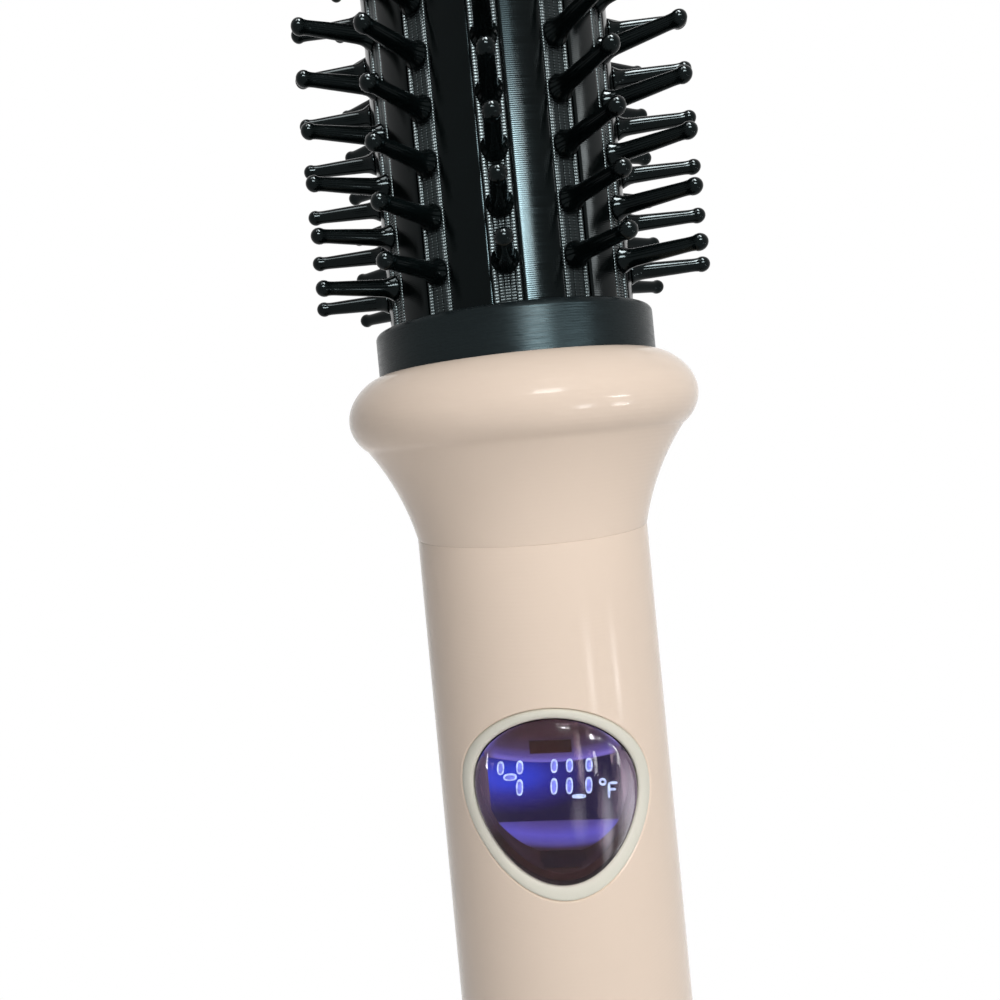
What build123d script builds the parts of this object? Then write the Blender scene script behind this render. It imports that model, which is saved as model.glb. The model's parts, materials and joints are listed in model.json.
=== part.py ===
"""Curling iron brush: a heated round brush with a plain handle, a display window and three buttons.

Millimetres. The brush stands upright on +Z, its front faces -Y, and the origin is the mouth of the
cord inlet at the tail. Each function makes one sub-part and writes it to its own STEP file.
"""

import os
from math import cos, pi, sin, sqrt

from build123d import *

# Gaps between pieces
fixed_gap = 0.1          # between round pieces that are fixed to each other
running_gap = 0.08       # between the turning gland and the tail cap
button_gap = 0.3         # round a button, in its hole
end_gap = 0.2            # past the end of a plug, a rib or a blade

# Handle tube, and the heights at which its buttons and its window follow each other
handle_radius = 15.1
handle_wall = 2.0
grip_length = 36.0       # from the foot of the shells to the minus button
minus_to_plus = 11.0
plus_to_power = 13.0
power_to_display = 32.7
display_to_neck = 29.3   # from the middle of the lens to the top of the shells

# Tail cap and the swivel gland that turns in it
gland_stub = 5.0
gland_radius = 6.0
inlet_radius = 3.3
inlet_depth = 12.0
wire_bore_radius = 1.8
flange_to_screw = 2.0    # from the edge of the gland's flange to the middle of a retainer screw
flange_thickness = 2.0
shaft_radius = 4.4
shaft_over = 1.3         # from the upper slip ring to the end of the shaft
tail_cap_height = 7.0
tail_cap_floor = 2.6
tail_corner = 6.0
spigot_length = 6.0
spigot_wall = 1.1
rib_height = 0.6
rib_width = 1.2
rib_setback = 2.6

# Swivel retainer, slip rings and contact wipers
retainer_thickness = 1.6
retainer_screw_inset = 1.7   # from the cap's bore to the middle of a retainer screw
retainer_screw_radius = 0.9
retainer_head_radius = 1.5
retainer_head_height = 1.1
retainer_screw_length = 3.2
slip_ring_wall = 1.1
slip_ring_height = 2.0
slip_ring_pitch = 4.5
wiper_thickness = 0.4
wiper_reach = 5.0

# Neck flare and its rolled bead: heights above the joint with the handle, spreads beyond the mouth
crease_height = 12.25
crease_spread = 2.3
flare_middle_height = 6.35
flare_sag = 0.75         # from the straight line between joint and crease in to the flare's middle
bead_height = 16.35
bead_spread = 4.4
bead_under_height = 14.35
bead_under_spread = 4.0
bead_over_height = 19.4
bead_over_spread = 3.25
neck_height = 21.75
neck_spigot_length = 7.0
neck_spigot_wall = 1.8
neck_throat_height = 1.5
socket_seat_height = 11.5
socket_seat_width = 2.6
socket_seat_rise = 2.0

# Barrel socket and collar
socket_wall = 2.1
socket_floor = 2.2
socket_height = 8.0
socket_wire_radius = 8.2
collar_wall = 2.05
collar_height = 7.95
collar_edge = 0.8

# Fluted barrel
barrel_radius = 16.0
barrel_bore = 9.5
row_count = 12
slot_foot_half = 1.8
slot_depth = 3.55
slot_foot_height = 1.5
slot_mouth_half = 1.06
rib_groove_inner = 1.5
rib_groove_width = 0.26
rib_groove_depth = 1.1
barrel_margin = 5.3      # from the last pin to the end of the barrel
first_pin_height = 5.03  # from the top of the collar to the first pin

# Bristle strips and their pins, with heights above the surface of the barrel
pin_pitch = 6.35
pins_per_row = 25
strip_gap = 0.1
strip_sink = 0.25        # from the surface of the barrel down to the top of a strip
strip_lead = 1.3         # from the foot of the barrel to the start of a strip
pin_stem_half = 0.9
pin_base_half = 1.45
pin_base_height = 0.12
pin_root_half = 1.0
pin_root_height = 1.3
pin_neck_half = 0.64
pin_neck_height = 8.1
pin_ball_half = 0.9
pin_ball_start = 8.8
pin_ball_end = 9.8
pin_tip_half = 0.5
pin_tip_height = 10.3

# Heater inside the barrel
heater_start = 16.3      # above the foot of the barrel
heater_margin = 5.2      # from the heater to the anchor of the cool tip
stone_thickness = 2.4
stone_width = 12.0
stone_length = 30.0
stone_pitch = 32.0
stone_count = 4
electrode_thickness = 0.5
electrode_overlap = 1.0  # past each side of the stones
electrode_margin = 2.0
electrode_tab_width = 2.2
electrode_tab_drop = 8.0
film_thickness = 0.3
film_overlap = 1.0       # past each side of the electrodes
film_margin = 1.0
pocket_offset = 5.6
fuse_radius = 1.9
fuse_length = 11.0
sensor_radius = 1.2
sensor_length = 12.0
sensor_stand = 4.0
capsule_edge = 0.5       # rounding of the sensor's and the fuse's ends

# Cool tip
tip_insulator_thickness = 2.0
cool_tip_stand = 0.4     # beyond the surface of the barrel
cool_tip_length = 18.0
cool_tip_straight = 6.0
cool_tip_round = 4.4     # from the cool tip's side in to its end face
cool_tip_spigot = 12.0
tip_anchor_thickness = 3.0
tip_screw_radius = 1.6
tip_head_radius = 3.2
tip_head_height = 2.4
tip_recess_radius = 4.6
tip_floor = 7.5          # from the foot of the cool tip to the seat of its screw
tip_cover_thickness = 2.0

# Display window
bezel_drop = 0.22        # the rim's middle lies this much below the lens's
lens_half_width = 9.4
lens_half_height = 9.4
bezel_half_width = 11.05
bezel_half_height = 10.85
chin_swell = 0.12
shoulder_swell = 0.083
outline_steps = 16
bezel_stand = 0.1        # beyond the surface of the handle
bezel_flange = 1.0
bezel_flange_thickness = 0.9
bezel_ledge = 0.8
bezel_ledge_rise = 0.25  # beyond the shell's inside
lens_stand = 0.9         # from the surface of the handle to the crown of the lens
dome_radius = 13.3
dome_arc = 57.0
lens_thickness = 1.6

# Control board and what stands on it
board_depth = 6.5        # from the shell's inside, on its centre line, to the board's front
board_thickness = 1.6
board_edge_gap = 0.34    # from a front edge of the board to the bezel's flange
module_half_width = 7.8
module_half_height = 6.0
module_thickness = 2.6
digit_height = 5.2       # between the middles of the top and the bottom stroke
digit_width = 2.28       # between the middles of the left and the right stroke
digit_stroke = 0.56
digit_gap = 0.12
digit_thickness = 0.15
digit_pitch = 4.13
digit_start = -5.32
digit_rise = 0.27        # from the middle of the lens to the middle of the digits
degree_x = 5.87
degree_drop = 0.63
degree_radius = 0.45
letter_x = 6.92
letter_drop = 1.6
letter_height = 1.5
letter_width = 0.9
letter_stroke = 0.26
post_inset = 1.8         # from the side of the board to the middle of a post
post_radius = 1.6
upper_post_rise = 13.0   # above the power button
board_margin = 3.0       # from the lowest switch down to the foot of the board
board_screw_radius = 0.8
board_screw_length = 5.0
board_head_radius = 1.4
board_head_height = 1.0
triac_width = 10.0
triac_depth = 4.5
triac_length = 15.0
triac_drop = 8.7         # below the middle of the display
capacitor_width = 13.0
capacitor_depth = 8.0
capacitor_length = 18.0
capacitor_drop = 1.0     # below the power button

# Buttons and their switches
power_button_radius = 4.2
step_button_radius = 3.6
button_stand = 0.6       # beyond the surface of the handle
button_edge = 0.35
button_flange = 0.8
button_flange_thickness = 0.8
button_stem_radius = 1.5
button_stem_length = 0.3
shell_to_flange = 1.1    # from the shell's inside, on its centre line, to the top of a flange
switch_size = 6.0
switch_height = 3.4
plunger_radius = 1.7
plunger_inside = 0.6
plunger_well = 1.4

# Screws through the rear shell
shell_boss_gap = 0.3     # from a boss to the neck's spigot and to the board's top
shell_boss_stand = 1.8   # from the lower boss up to the foot of the board
shell_screw_radius = 1.5
shell_tip_depth = 7.6    # from the handle's front in to the point of a screw
shell_head_radius = 2.6
shell_head_height = 1.8
shell_head_depth = 7.1   # from the handle's back in to the seat of a screw's head
shell_boss_radius = 4.2
plug_thickness = 2.6

# Leads
mains_lead_radius = 0.8
mains_lead_y = 8.0
mains_lead_reach = 4.0   # how far up the board the mains leads meet it
mains_lead_bend = 5.0
heater_lead_radius = 0.9
heater_lead_reach = 6.0  # how far down the board the heater leads meet it
heater_lead_bend = 1.4
sensor_lead_radius = 0.5
sensor_lead_x = 0.7
sensor_lead_inset = 1.6  # from the side of the board
sensor_lead_top_run = 18.0
sensor_lead_shift = 10.0
sensor_lead_reach = 8.0
sensor_lead_bend = 5.0

# Heights that follow from the sizes above
tail_z = gland_stub
shell_z = tail_z + tail_cap_height
minus_z = shell_z + grip_length
plus_z = minus_z + minus_to_plus
power_z = plus_z + plus_to_power
display_z = power_z + power_to_display
bezel_z = display_z - bezel_drop
neck_z = display_z + display_to_neck
crease_z = neck_z + crease_height
neck_top_z = neck_z + neck_height
socket_z = neck_z + socket_seat_height
barrel_z = socket_z + socket_floor
collar_z = socket_z + socket_height
collar_top_z = collar_z + collar_height
first_pin_z = collar_top_z + first_pin_height
last_pin_z = first_pin_z + (pins_per_row - 1) * pin_pitch
barrel_top_z = last_pin_z + barrel_margin
tip_z = barrel_top_z + tip_insulator_thickness
tip_end_z = tip_z + cool_tip_length
heater_z = barrel_z + heater_start
anchor_z = barrel_top_z - cool_tip_spigot - tip_anchor_thickness
heater_length = anchor_z - heater_margin - heater_z
flange_z = tail_z + tail_cap_floor
retainer_z = flange_z + flange_thickness + fixed_gap
spigot_top_z = shell_z + spigot_length
slip_ring_z = spigot_top_z + end_gap
shaft_end_z = slip_ring_z + slip_ring_pitch + slip_ring_height + shaft_over
board_bottom_z = minus_z - switch_size / 2 - board_margin
lower_screw_z = board_bottom_z - shell_boss_stand - shell_boss_radius
upper_screw_z = neck_z - neck_spigot_length - shell_boss_gap - shell_boss_radius
board_top_z = upper_screw_z - shell_boss_radius - shell_boss_gap
lower_post_z = (minus_z + plus_z) / 2
upper_post_z = power_z + upper_post_rise
mains_lead_top = board_bottom_z + mains_lead_reach
heater_lead_end = board_top_z - heater_lead_reach
sensor_lead_end = board_top_z - sensor_lead_reach

# Radii and depths that follow from the sizes above
shell_bore = handle_radius - handle_wall
spigot_radius = shell_bore - fixed_gap
spigot_bore = spigot_radius - spigot_wall
retainer_screw_circle = spigot_bore - retainer_screw_inset
flange_radius = retainer_screw_circle - flange_to_screw
middle_of_wall = handle_radius - handle_wall / 2
shell_head_seat = handle_radius - shell_head_depth
shell_screw_tip = handle_radius - shell_tip_depth
bezel_front_radius = handle_radius + bezel_stand
bezel_ledge_radius = shell_bore + bezel_ledge_rise
bezel_inner_radius = shell_bore - fixed_gap - bezel_flange_thickness
dome_axis_depth = handle_radius + lens_stand - dome_radius
board_front = shell_bore - board_depth
board_back = board_front - board_thickness
board_half_width = sqrt(bezel_inner_radius**2 - board_front**2) - board_edge_gap
post_x = board_half_width - post_inset
sensor_lead_side_x = board_half_width - sensor_lead_inset
button_crown_radius = handle_radius + button_stand
switch_top = board_front + switch_height
flange_top = shell_bore - shell_to_flange
flange_bottom = flange_top - button_flange_thickness
plunger_top = flange_bottom - button_stem_length
slip_ring_radius = shaft_radius + slip_ring_wall
socket_bore = barrel_radius + fixed_gap
socket_radius = socket_bore + socket_wall
socket_seat_radius = socket_radius - socket_seat_width
collar_radius = socket_bore + collar_wall
mouth_radius = socket_radius + fixed_gap
crease_radius = mouth_radius + crease_spread
flare_line_radius = handle_radius + (crease_radius - handle_radius) * flare_middle_height / crease_height
slot_foot_radius = barrel_radius - slot_depth
strip_top_radius = barrel_radius - strip_sink
cool_tip_radius = barrel_radius + cool_tip_stand
electrode_width = stone_width + 2 * electrode_overlap
film_width = electrode_width + 2 * film_overlap
electrode_y = stone_thickness / 2 + electrode_thickness / 2
film_y = stone_thickness / 2 + electrode_thickness + film_thickness / 2
block_flat = stone_thickness / 2 + electrode_thickness + film_thickness
heater_lead_x = electrode_width / 2 - electrode_tab_width / 2
tab_z = heater_z + electrode_margin - electrode_tab_drop

shell_screw_places = [(0, lower_screw_z), (0, upper_screw_z)]
board_screw_places = [(x, z) for x in (-post_x, post_x) for z in (lower_post_z, upper_post_z)]
buttons = (
    ("power", power_z, power_button_radius),
    ("plus", plus_z, step_button_radius),
    ("minus", minus_z, step_button_radius),
)


def save(piece, name):
    """Labels a finished piece and writes it to its own file."""
    piece.part.label = name
    export_step(piece.part, f"parts/{name}.step")


def pick_outline(half_width, half_height, middle_z):
    """Gives the window's outline: a circle swollen at its shoulders and its chin."""
    points = []
    for step in range(outline_steps):
        angle = 2 * pi * step / outline_steps
        radius = (half_width + half_height) / 2 + (half_width - half_height) / 2 * cos(2 * angle)
        radius += chin_swell * sin(3 * angle) + shoulder_swell * cos(4 * angle)
        points.append((radius * cos(angle), middle_z + radius * sin(angle)))
    with BuildSketch() as outline:
        with BuildLine():
            Spline(points, periodic=True)
        make_face()
    return outline.sketch


def keep_within(radius):
    """Trims the open part to a cylinder on the handle's axis."""
    Cylinder(radius, 2 * tip_end_z, mode=Mode.INTERSECT)


def make_half_tube(side):
    """Half of the handle tube, with ribs inside that trap the tail cap and the neck."""
    tail_rib_z = shell_z + rib_setback
    neck_rib_z = neck_z - rib_setback
    rib_radius = shell_bore - rib_height
    with BuildPart() as half_tube:
        with BuildSketch(Plane.XZ):
            with BuildLine():
                Polyline(
                    (handle_radius, shell_z), (handle_radius, neck_z), (shell_bore, neck_z),
                    (shell_bore, neck_rib_z), (rib_radius, neck_rib_z),
                    (rib_radius, neck_rib_z - rib_width), (shell_bore, neck_rib_z - rib_width),
                    (shell_bore, tail_rib_z + rib_width), (rib_radius, tail_rib_z + rib_width),
                    (rib_radius, tail_rib_z), (shell_bore, tail_rib_z), (shell_bore, shell_z),
                    close=True,
                )
            make_face()
        revolve(axis=Axis.Z)
        split(bisect_by=Plane.XZ, keep=side)
    return half_tube


def make_front_shell():
    """Front half of the handle, with the window, the button holes, and posts for the board."""
    half_tube = make_half_tube(Keep.TOP)
    with BuildPart() as front_shell:
        with BuildSketch(Plane.XZ):
            with Locations(*shell_screw_places):
                Circle(shell_boss_radius)
        extrude(amount=handle_radius)
        with BuildSketch(Plane.XZ.offset(board_front)):
            with Locations(*board_screw_places):
                Circle(post_radius)
        extrude(amount=handle_radius)
        keep_within(middle_of_wall)
        add(half_tube.part)
        with BuildSketch(Plane.XZ):
            with Locations(*shell_screw_places):
                Circle(shell_screw_radius + fixed_gap)
        extrude(amount=shell_screw_tip + end_gap, mode=Mode.SUBTRACT)
        with BuildSketch(Plane.XZ):
            add(pick_outline(bezel_half_width + fixed_gap, bezel_half_height + fixed_gap, bezel_z))
            for _, height, radius in buttons:
                with Locations((0, height)):
                    Circle(radius + button_gap)
        extrude(amount=2 * handle_radius, mode=Mode.SUBTRACT)
        with BuildSketch(Plane.XZ.offset(board_front)):
            with Locations(*board_screw_places):
                Circle(board_screw_radius + fixed_gap)
        extrude(amount=board_screw_length - board_thickness + end_gap, mode=Mode.SUBTRACT)
    save(front_shell, "handle_front_shell")


def make_rear_shell():
    """Rear half of the handle, with two bosses whose screws sink below the surface."""
    half_tube = make_half_tube(Keep.BOTTOM)
    with BuildPart() as rear_shell:
        with BuildSketch(Plane.XZ):
            with Locations(*shell_screw_places):
                Circle(shell_boss_radius)
        extrude(amount=-handle_radius)
        keep_within(middle_of_wall)
        add(half_tube.part)
        with BuildSketch(Plane.XZ):
            with Locations(*shell_screw_places):
                Circle(shell_screw_radius + fixed_gap)
        extrude(amount=-shell_head_seat, mode=Mode.SUBTRACT)
        with BuildSketch(Plane.XZ.offset(-shell_head_seat)):
            with Locations(*shell_screw_places):
                Circle(shell_head_radius + fixed_gap)
        extrude(amount=-handle_radius, mode=Mode.SUBTRACT)
    save(rear_shell, "handle_rear_shell")


def make_shell_screws():
    """Two screws that draw the rear shell to the front one, and the plugs over their heads."""
    with BuildPart() as screws:
        with BuildSketch(Plane.XZ.offset(-shell_head_seat)):
            with Locations(*shell_screw_places):
                Circle(shell_head_radius)
        extrude(amount=-shell_head_height)
        with BuildSketch(Plane.XZ.offset(-shell_head_seat)):
            with Locations(*shell_screw_places):
                Circle(shell_screw_radius)
        extrude(amount=shell_head_seat + shell_screw_tip)
    save(screws, "shell_screws")

    with BuildPart() as plugs:
        with BuildSketch(Plane.XZ.offset(-(handle_radius - plug_thickness))):
            with Locations(*shell_screw_places):
                Circle(shell_head_radius)
        extrude(amount=-handle_radius)
        keep_within(handle_radius)
    save(plugs, "screw_plugs")


def make_tail_cap():
    """Rounded cap that closes the tail, with a grooved spigot inside the shells."""
    groove_z = shell_z + rib_setback - fixed_gap
    groove_radius = shell_bore - rib_height - fixed_gap
    groove_top = groove_z + rib_width + 2 * fixed_gap
    with BuildPart() as tail_cap:
        with BuildSketch(Plane.XZ):
            with BuildLine():
                corner = CenterArc(
                    (handle_radius - tail_corner, tail_z + tail_corner), tail_corner, -90, 90
                )
                Polyline(
                    corner @ 1, (handle_radius, shell_z), (spigot_radius, shell_z),
                    (spigot_radius, groove_z), (groove_radius, groove_z),
                    (groove_radius, groove_top), (spigot_radius, groove_top),
                    (spigot_radius, spigot_top_z), (spigot_bore, spigot_top_z),
                    (spigot_bore, retainer_z), (flange_radius + button_gap, retainer_z),
                    (flange_radius + button_gap, flange_z), (gland_radius + running_gap, flange_z),
                    (gland_radius + running_gap, tail_z), corner @ 0,
                )
            make_face()
        revolve(axis=Axis.Z)
        with BuildSketch(Plane.XY.offset(retainer_z)):
            with PolarLocations(retainer_screw_circle, 2):
                Circle(retainer_screw_radius + fixed_gap)
        extrude(amount=-(retainer_screw_length + end_gap), mode=Mode.SUBTRACT)
    save(tail_cap, "tail_cap")


def make_swivel():
    """The gland that turns with the cord, its slip rings, and the ring that keeps it in the cap."""
    with BuildPart() as gland:
        with BuildSketch(Plane.XZ):
            with BuildLine():
                Polyline(
                    (inlet_radius, 0), (gland_radius, 0), (gland_radius, flange_z),
                    (flange_radius, flange_z), (flange_radius, flange_z + flange_thickness),
                    (shaft_radius, flange_z + flange_thickness), (shaft_radius, shaft_end_z),
                    (wire_bore_radius, shaft_end_z), (wire_bore_radius, inlet_depth),
                    (inlet_radius, inlet_depth), close=True,
                )
            make_face()
        revolve(axis=Axis.Z)
    save(gland, "swivel_gland")

    with BuildPart() as rings:
        for number in range(2):
            with BuildSketch(Plane.XY.offset(slip_ring_z + number * slip_ring_pitch)):
                Circle(slip_ring_radius)
                Circle(shaft_radius + fixed_gap, mode=Mode.SUBTRACT)
            extrude(amount=slip_ring_height)
    save(rings, "slip_rings")

    with BuildPart() as retainer:
        with BuildSketch(Plane.XY.offset(retainer_z)):
            Circle(spigot_bore - fixed_gap)
            Circle(shaft_radius + button_gap, mode=Mode.SUBTRACT)
            with PolarLocations(retainer_screw_circle, 2):
                Circle(retainer_screw_radius + fixed_gap, mode=Mode.SUBTRACT)
        extrude(amount=retainer_thickness)
    save(retainer, "swivel_retainer")

    with BuildPart() as screws:
        with BuildSketch(Plane.XY.offset(retainer_z + retainer_thickness)):
            with PolarLocations(retainer_screw_circle, 2):
                Circle(retainer_head_radius)
        extrude(amount=retainer_head_height)
        with BuildSketch(Plane.XY.offset(retainer_z + retainer_thickness)):
            with PolarLocations(retainer_screw_circle, 2):
                Circle(retainer_screw_radius)
        extrude(amount=-(retainer_thickness + retainer_screw_length))
    save(screws, "retainer_screws")


def make_mains_side():
    """Sprung blades beside the slip rings, and the leads from them to the board."""
    blade_x = slip_ring_radius + button_gap
    blade_outer = blade_x + wiper_thickness
    blade_end = sqrt(shell_bore**2 - blade_outer**2) - fixed_gap
    with BuildPart() as wipers:
        for number, side in enumerate((1, -1)):
            middle = (side * (blade_x + blade_outer) / 2, (blade_end - wiper_reach) / 2)
            with BuildSketch(Plane.XY.offset(slip_ring_z + number * slip_ring_pitch)):
                with Locations(middle):
                    Rectangle(wiper_thickness, blade_end + wiper_reach)
            extrude(amount=slip_ring_height)
    save(wipers, "contact_wipers")

    with BuildPart() as leads:
        for number, side in enumerate((1, -1)):
            x = side * (blade_x + blade_outer) / 2
            start_z = slip_ring_z + number * slip_ring_pitch + slip_ring_height
            with BuildLine() as route:
                FilletPolyline(
                    (x, mains_lead_y, start_z), (x, mains_lead_y, mains_lead_top),
                    (x, -board_back, mains_lead_top), radius=mains_lead_bend,
                )
            with BuildSketch(Plane((x, mains_lead_y, start_z), z_dir=(0, 0, 1))):
                Circle(mains_lead_radius)
            sweep(path=route.line)
    save(leads, "mains_leads")


def make_neck_flare():
    """Flare and rolled bead in one moulding, hollow, with a grooved spigot inside the shells."""
    groove_top = neck_z - rib_setback + fixed_gap
    groove_z = groove_top - rib_width - 2 * fixed_gap
    groove_radius = shell_bore - rib_height - fixed_gap
    bore = spigot_radius - neck_spigot_wall
    with BuildPart() as neck_flare:
        with BuildSketch(Plane.XZ):
            with BuildLine():
                ThreePointArc(
                    (handle_radius, neck_z),
                    (flare_line_radius - flare_sag, neck_z + flare_middle_height),
                    (crease_radius, crease_z),
                )
                bead = Spline(
                    (crease_radius, crease_z),
                    (mouth_radius + bead_under_spread, neck_z + bead_under_height),
                    (mouth_radius + bead_spread, neck_z + bead_height),
                    (mouth_radius + bead_over_spread, neck_z + bead_over_height),
                    (mouth_radius, neck_top_z),
                )
                Polyline(
                    bead @ 1, (mouth_radius, socket_z), (socket_seat_radius, socket_z),
                    (socket_seat_radius, socket_z - socket_seat_rise),
                    (bore, neck_z + neck_throat_height), (bore, neck_z - neck_spigot_length),
                    (spigot_radius, neck_z - neck_spigot_length), (spigot_radius, groove_z),
                    (groove_radius, groove_z), (groove_radius, groove_top),
                    (spigot_radius, groove_top), (spigot_radius, neck_z), (handle_radius, neck_z),
                )
            make_face()
        revolve(axis=Axis.Z)
    save(neck_flare, "neck_flare")


def make_socket_and_collar():
    """The cup that carries the foot of the barrel, and the dark ring that shows above the bead."""
    with BuildPart() as socket:
        with BuildSketch(Plane.XY.offset(socket_z)):
            Circle(socket_radius)
            Circle(socket_wire_radius, mode=Mode.SUBTRACT)
        extrude(amount=socket_height)
        with BuildSketch(Plane.XY.offset(barrel_z)):
            Circle(socket_bore)
        extrude(amount=socket_height, mode=Mode.SUBTRACT)
    save(socket, "barrel_socket")

    with BuildPart() as collar:
        with BuildSketch(Plane.XY.offset(collar_z)):
            Circle(collar_radius)
            Circle(socket_bore, mode=Mode.SUBTRACT)
        extrude(amount=collar_height)
        rims = collar.edges().filter_by(GeomType.CIRCLE).group_by(Axis.Z)[-1]
        fillet(rims.sort_by(SortBy.RADIUS)[-1], radius=collar_edge)
    save(collar, "barrel_collar")


def make_barrel_core():
    """Fluted tube with an undercut slot for each bristle strip and a fine groove on each side of it."""
    foot_middle = slot_foot_radius + slot_foot_height / 2
    groove_foot = barrel_radius - rib_groove_depth
    groove_x = rib_groove_inner + rib_groove_width / 2
    with BuildPart() as barrel_core:
        with BuildSketch(Plane.XY.offset(barrel_z)):
            Circle(barrel_radius)
            Circle(barrel_bore, mode=Mode.SUBTRACT)
            with PolarLocations(0, row_count):
                with Locations((0, -foot_middle)):
                    Rectangle(2 * slot_foot_half, slot_foot_height, mode=Mode.SUBTRACT)
                with Locations((0, -foot_middle)):
                    Rectangle(
                        2 * slot_mouth_half, barrel_radius,
                        align=(Align.CENTER, Align.MAX), mode=Mode.SUBTRACT,
                    )
                with Locations((-groove_x, -groove_foot), (groove_x, -groove_foot)):
                    Rectangle(
                        rib_groove_width, barrel_radius,
                        align=(Align.CENTER, Align.MAX), mode=Mode.SUBTRACT,
                    )
        extrude(amount=barrel_top_z - barrel_z)
    save(barrel_core, "barrel_core")


def make_pin():
    """One four-sided pin on the front row: a stem in the slot, a flared base, a neck and a ball end."""
    stem = ((-strip_sink - pin_stem_half, pin_stem_half), (pin_base_height, pin_stem_half))
    shaft = (
        (pin_base_height, pin_base_half), (pin_root_height, pin_root_half),
        (pin_neck_height, pin_neck_half), (pin_ball_start, pin_ball_half),
        (pin_ball_end, pin_ball_half), (pin_tip_height, pin_tip_half),
    )
    with BuildPart() as pin:
        for sections in (stem, shaft):
            for height, half in sections:
                with BuildSketch(Plane.XZ.offset(barrel_radius + height)):
                    Rectangle(2 * half, 2 * half)
            loft(ruled=True)
    return pin


def make_bristle_strips():
    """Twelve moulded strips that slide into the barrel's slots, each with a row of pins."""
    pin = make_pin()
    strip_z = barrel_z + strip_lead
    foot_radius = slot_foot_radius + strip_gap
    foot_height = slot_foot_height - 2 * strip_gap
    with BuildPart() as front_strip:
        with BuildSketch(Plane.XY.offset(strip_z)):
            with Locations((0, -foot_radius)):
                Rectangle(
                    2 * (slot_foot_half - strip_gap), foot_height, align=(Align.CENTER, Align.MAX)
                )
                Rectangle(
                    2 * (slot_mouth_half - strip_gap), strip_top_radius - foot_radius,
                    align=(Align.CENTER, Align.MAX),
                )
        extrude(amount=barrel_top_z - strip_z)
        with Locations(*[(0, 0, first_pin_z + n * pin_pitch) for n in range(pins_per_row)]):
            add(pin.part)
    for number in range(row_count):
        with BuildPart() as strip:
            add(front_strip.part, rotation=(0, 0, number * 360 / row_count))
        save(strip, f"bristle_strip_{number + 1:02d}")


def make_heater():
    """Heating stones between two electrodes, films and half-round blocks that fill the bore."""
    block_radius = barrel_bore - fixed_gap
    for name, side, pocket_radius, pocket_depth in (
        ("heater_block_front", 1, sensor_radius, sensor_length - sensor_stand),
        ("heater_block_rear", -1, fuse_radius, fuse_length),
    ):
        with BuildPart() as block:
            with BuildSketch(Plane.XY.offset(heater_z)):
                Circle(block_radius)
                with Locations((0, -side * block_flat)):
                    Rectangle(
                        2 * block_radius, 2 * block_radius,
                        align=(Align.CENTER, Align.MIN if side > 0 else Align.MAX),
                        mode=Mode.SUBTRACT,
                    )
            extrude(amount=heater_length)
            with BuildSketch(Plane.XY.offset(heater_z)):
                with Locations((0, -side * pocket_offset)):
                    Circle(pocket_radius + fixed_gap)
            extrude(amount=pocket_depth + end_gap, mode=Mode.SUBTRACT)
        save(block, name)

    stones_z = heater_z + (heater_length - (stone_count - 1) * stone_pitch) / 2
    with BuildPart() as stones:
        with Locations(*[(0, 0, stones_z + n * stone_pitch) for n in range(stone_count)]):
            Box(stone_width, stone_thickness, stone_length)
    save(stones, "ptc_stones")

    electrode_length = heater_length - 2 * electrode_margin
    for name, side in (("electrode_plate_front", 1), ("electrode_plate_rear", -1)):
        with BuildPart() as electrode:
            with BuildSketch(Plane.XZ.offset(side * electrode_y - electrode_thickness / 2)):
                with Locations((0, heater_z + electrode_margin)):
                    Rectangle(
                        electrode_width, electrode_length, align=(Align.CENTER, Align.MIN)
                    )
                with Locations((side * heater_lead_x, tab_z)):
                    Rectangle(
                        electrode_tab_width, 2 * electrode_tab_drop,
                        align=(Align.CENTER, Align.MIN),
                    )
            extrude(amount=electrode_thickness)
        save(electrode, name)

    with BuildPart() as films:
        with Locations(
            (0, -film_y, heater_z + heater_length / 2), (0, film_y, heater_z + heater_length / 2)
        ):
            Box(film_width, film_thickness, heater_length - 2 * film_margin)
    save(films, "insulating_films")


def make_sensors():
    """The temperature sensor in the front block and the thermal fuse in the rear one."""
    for name, radius, length, y, start in (
        ("temperature_sensor", sensor_radius, sensor_length, -pocket_offset, -sensor_stand),
        ("thermal_fuse", fuse_radius, fuse_length, pocket_offset, 0.0),
    ):
        with BuildPart() as capsule:
            with BuildSketch(Plane.XY.offset(heater_z + start)):
                with Locations((0, y)):
                    Circle(radius)
            extrude(amount=length)
            fillet(capsule.edges().filter_by(GeomType.CIRCLE), radius=capsule_edge)
        save(capsule, name)


def make_inner_leads():
    """Heater leads and sensor leads, from the barrel through the neck to the back of the board."""
    with BuildPart() as heater_leads:
        for side in (1, -1):
            start = (side * heater_lead_x, -side * electrode_y, tab_z)
            with BuildLine() as route:
                FilletPolyline(
                    start, (start[0], start[1], heater_lead_end),
                    (start[0], -board_back, heater_lead_end), radius=heater_lead_bend,
                )
            with BuildSketch(Plane(start, z_dir=(0, 0, -1))):
                Circle(heater_lead_radius)
            sweep(path=route.line)
    save(heater_leads, "heater_leads")

    sensor_z = heater_z - sensor_stand
    bend_z = sensor_z - sensor_lead_top_run
    side_y = -board_back + sensor_lead_radius + fixed_gap
    with BuildPart() as sensor_leads:
        for side in (1, -1):
            start = (side * sensor_lead_x, -pocket_offset, sensor_z)
            with BuildLine() as route:
                FilletPolyline(
                    start, (start[0], start[1], bend_z),
                    (side * sensor_lead_side_x, side_y, bend_z - sensor_lead_shift),
                    (side * sensor_lead_side_x, side_y, sensor_lead_end), radius=sensor_lead_bend,
                )
            with BuildSketch(Plane(start, z_dir=(0, 0, -1))):
                Circle(sensor_lead_radius)
            sweep(path=route.line)
    save(sensor_leads, "sensor_leads")


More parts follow.
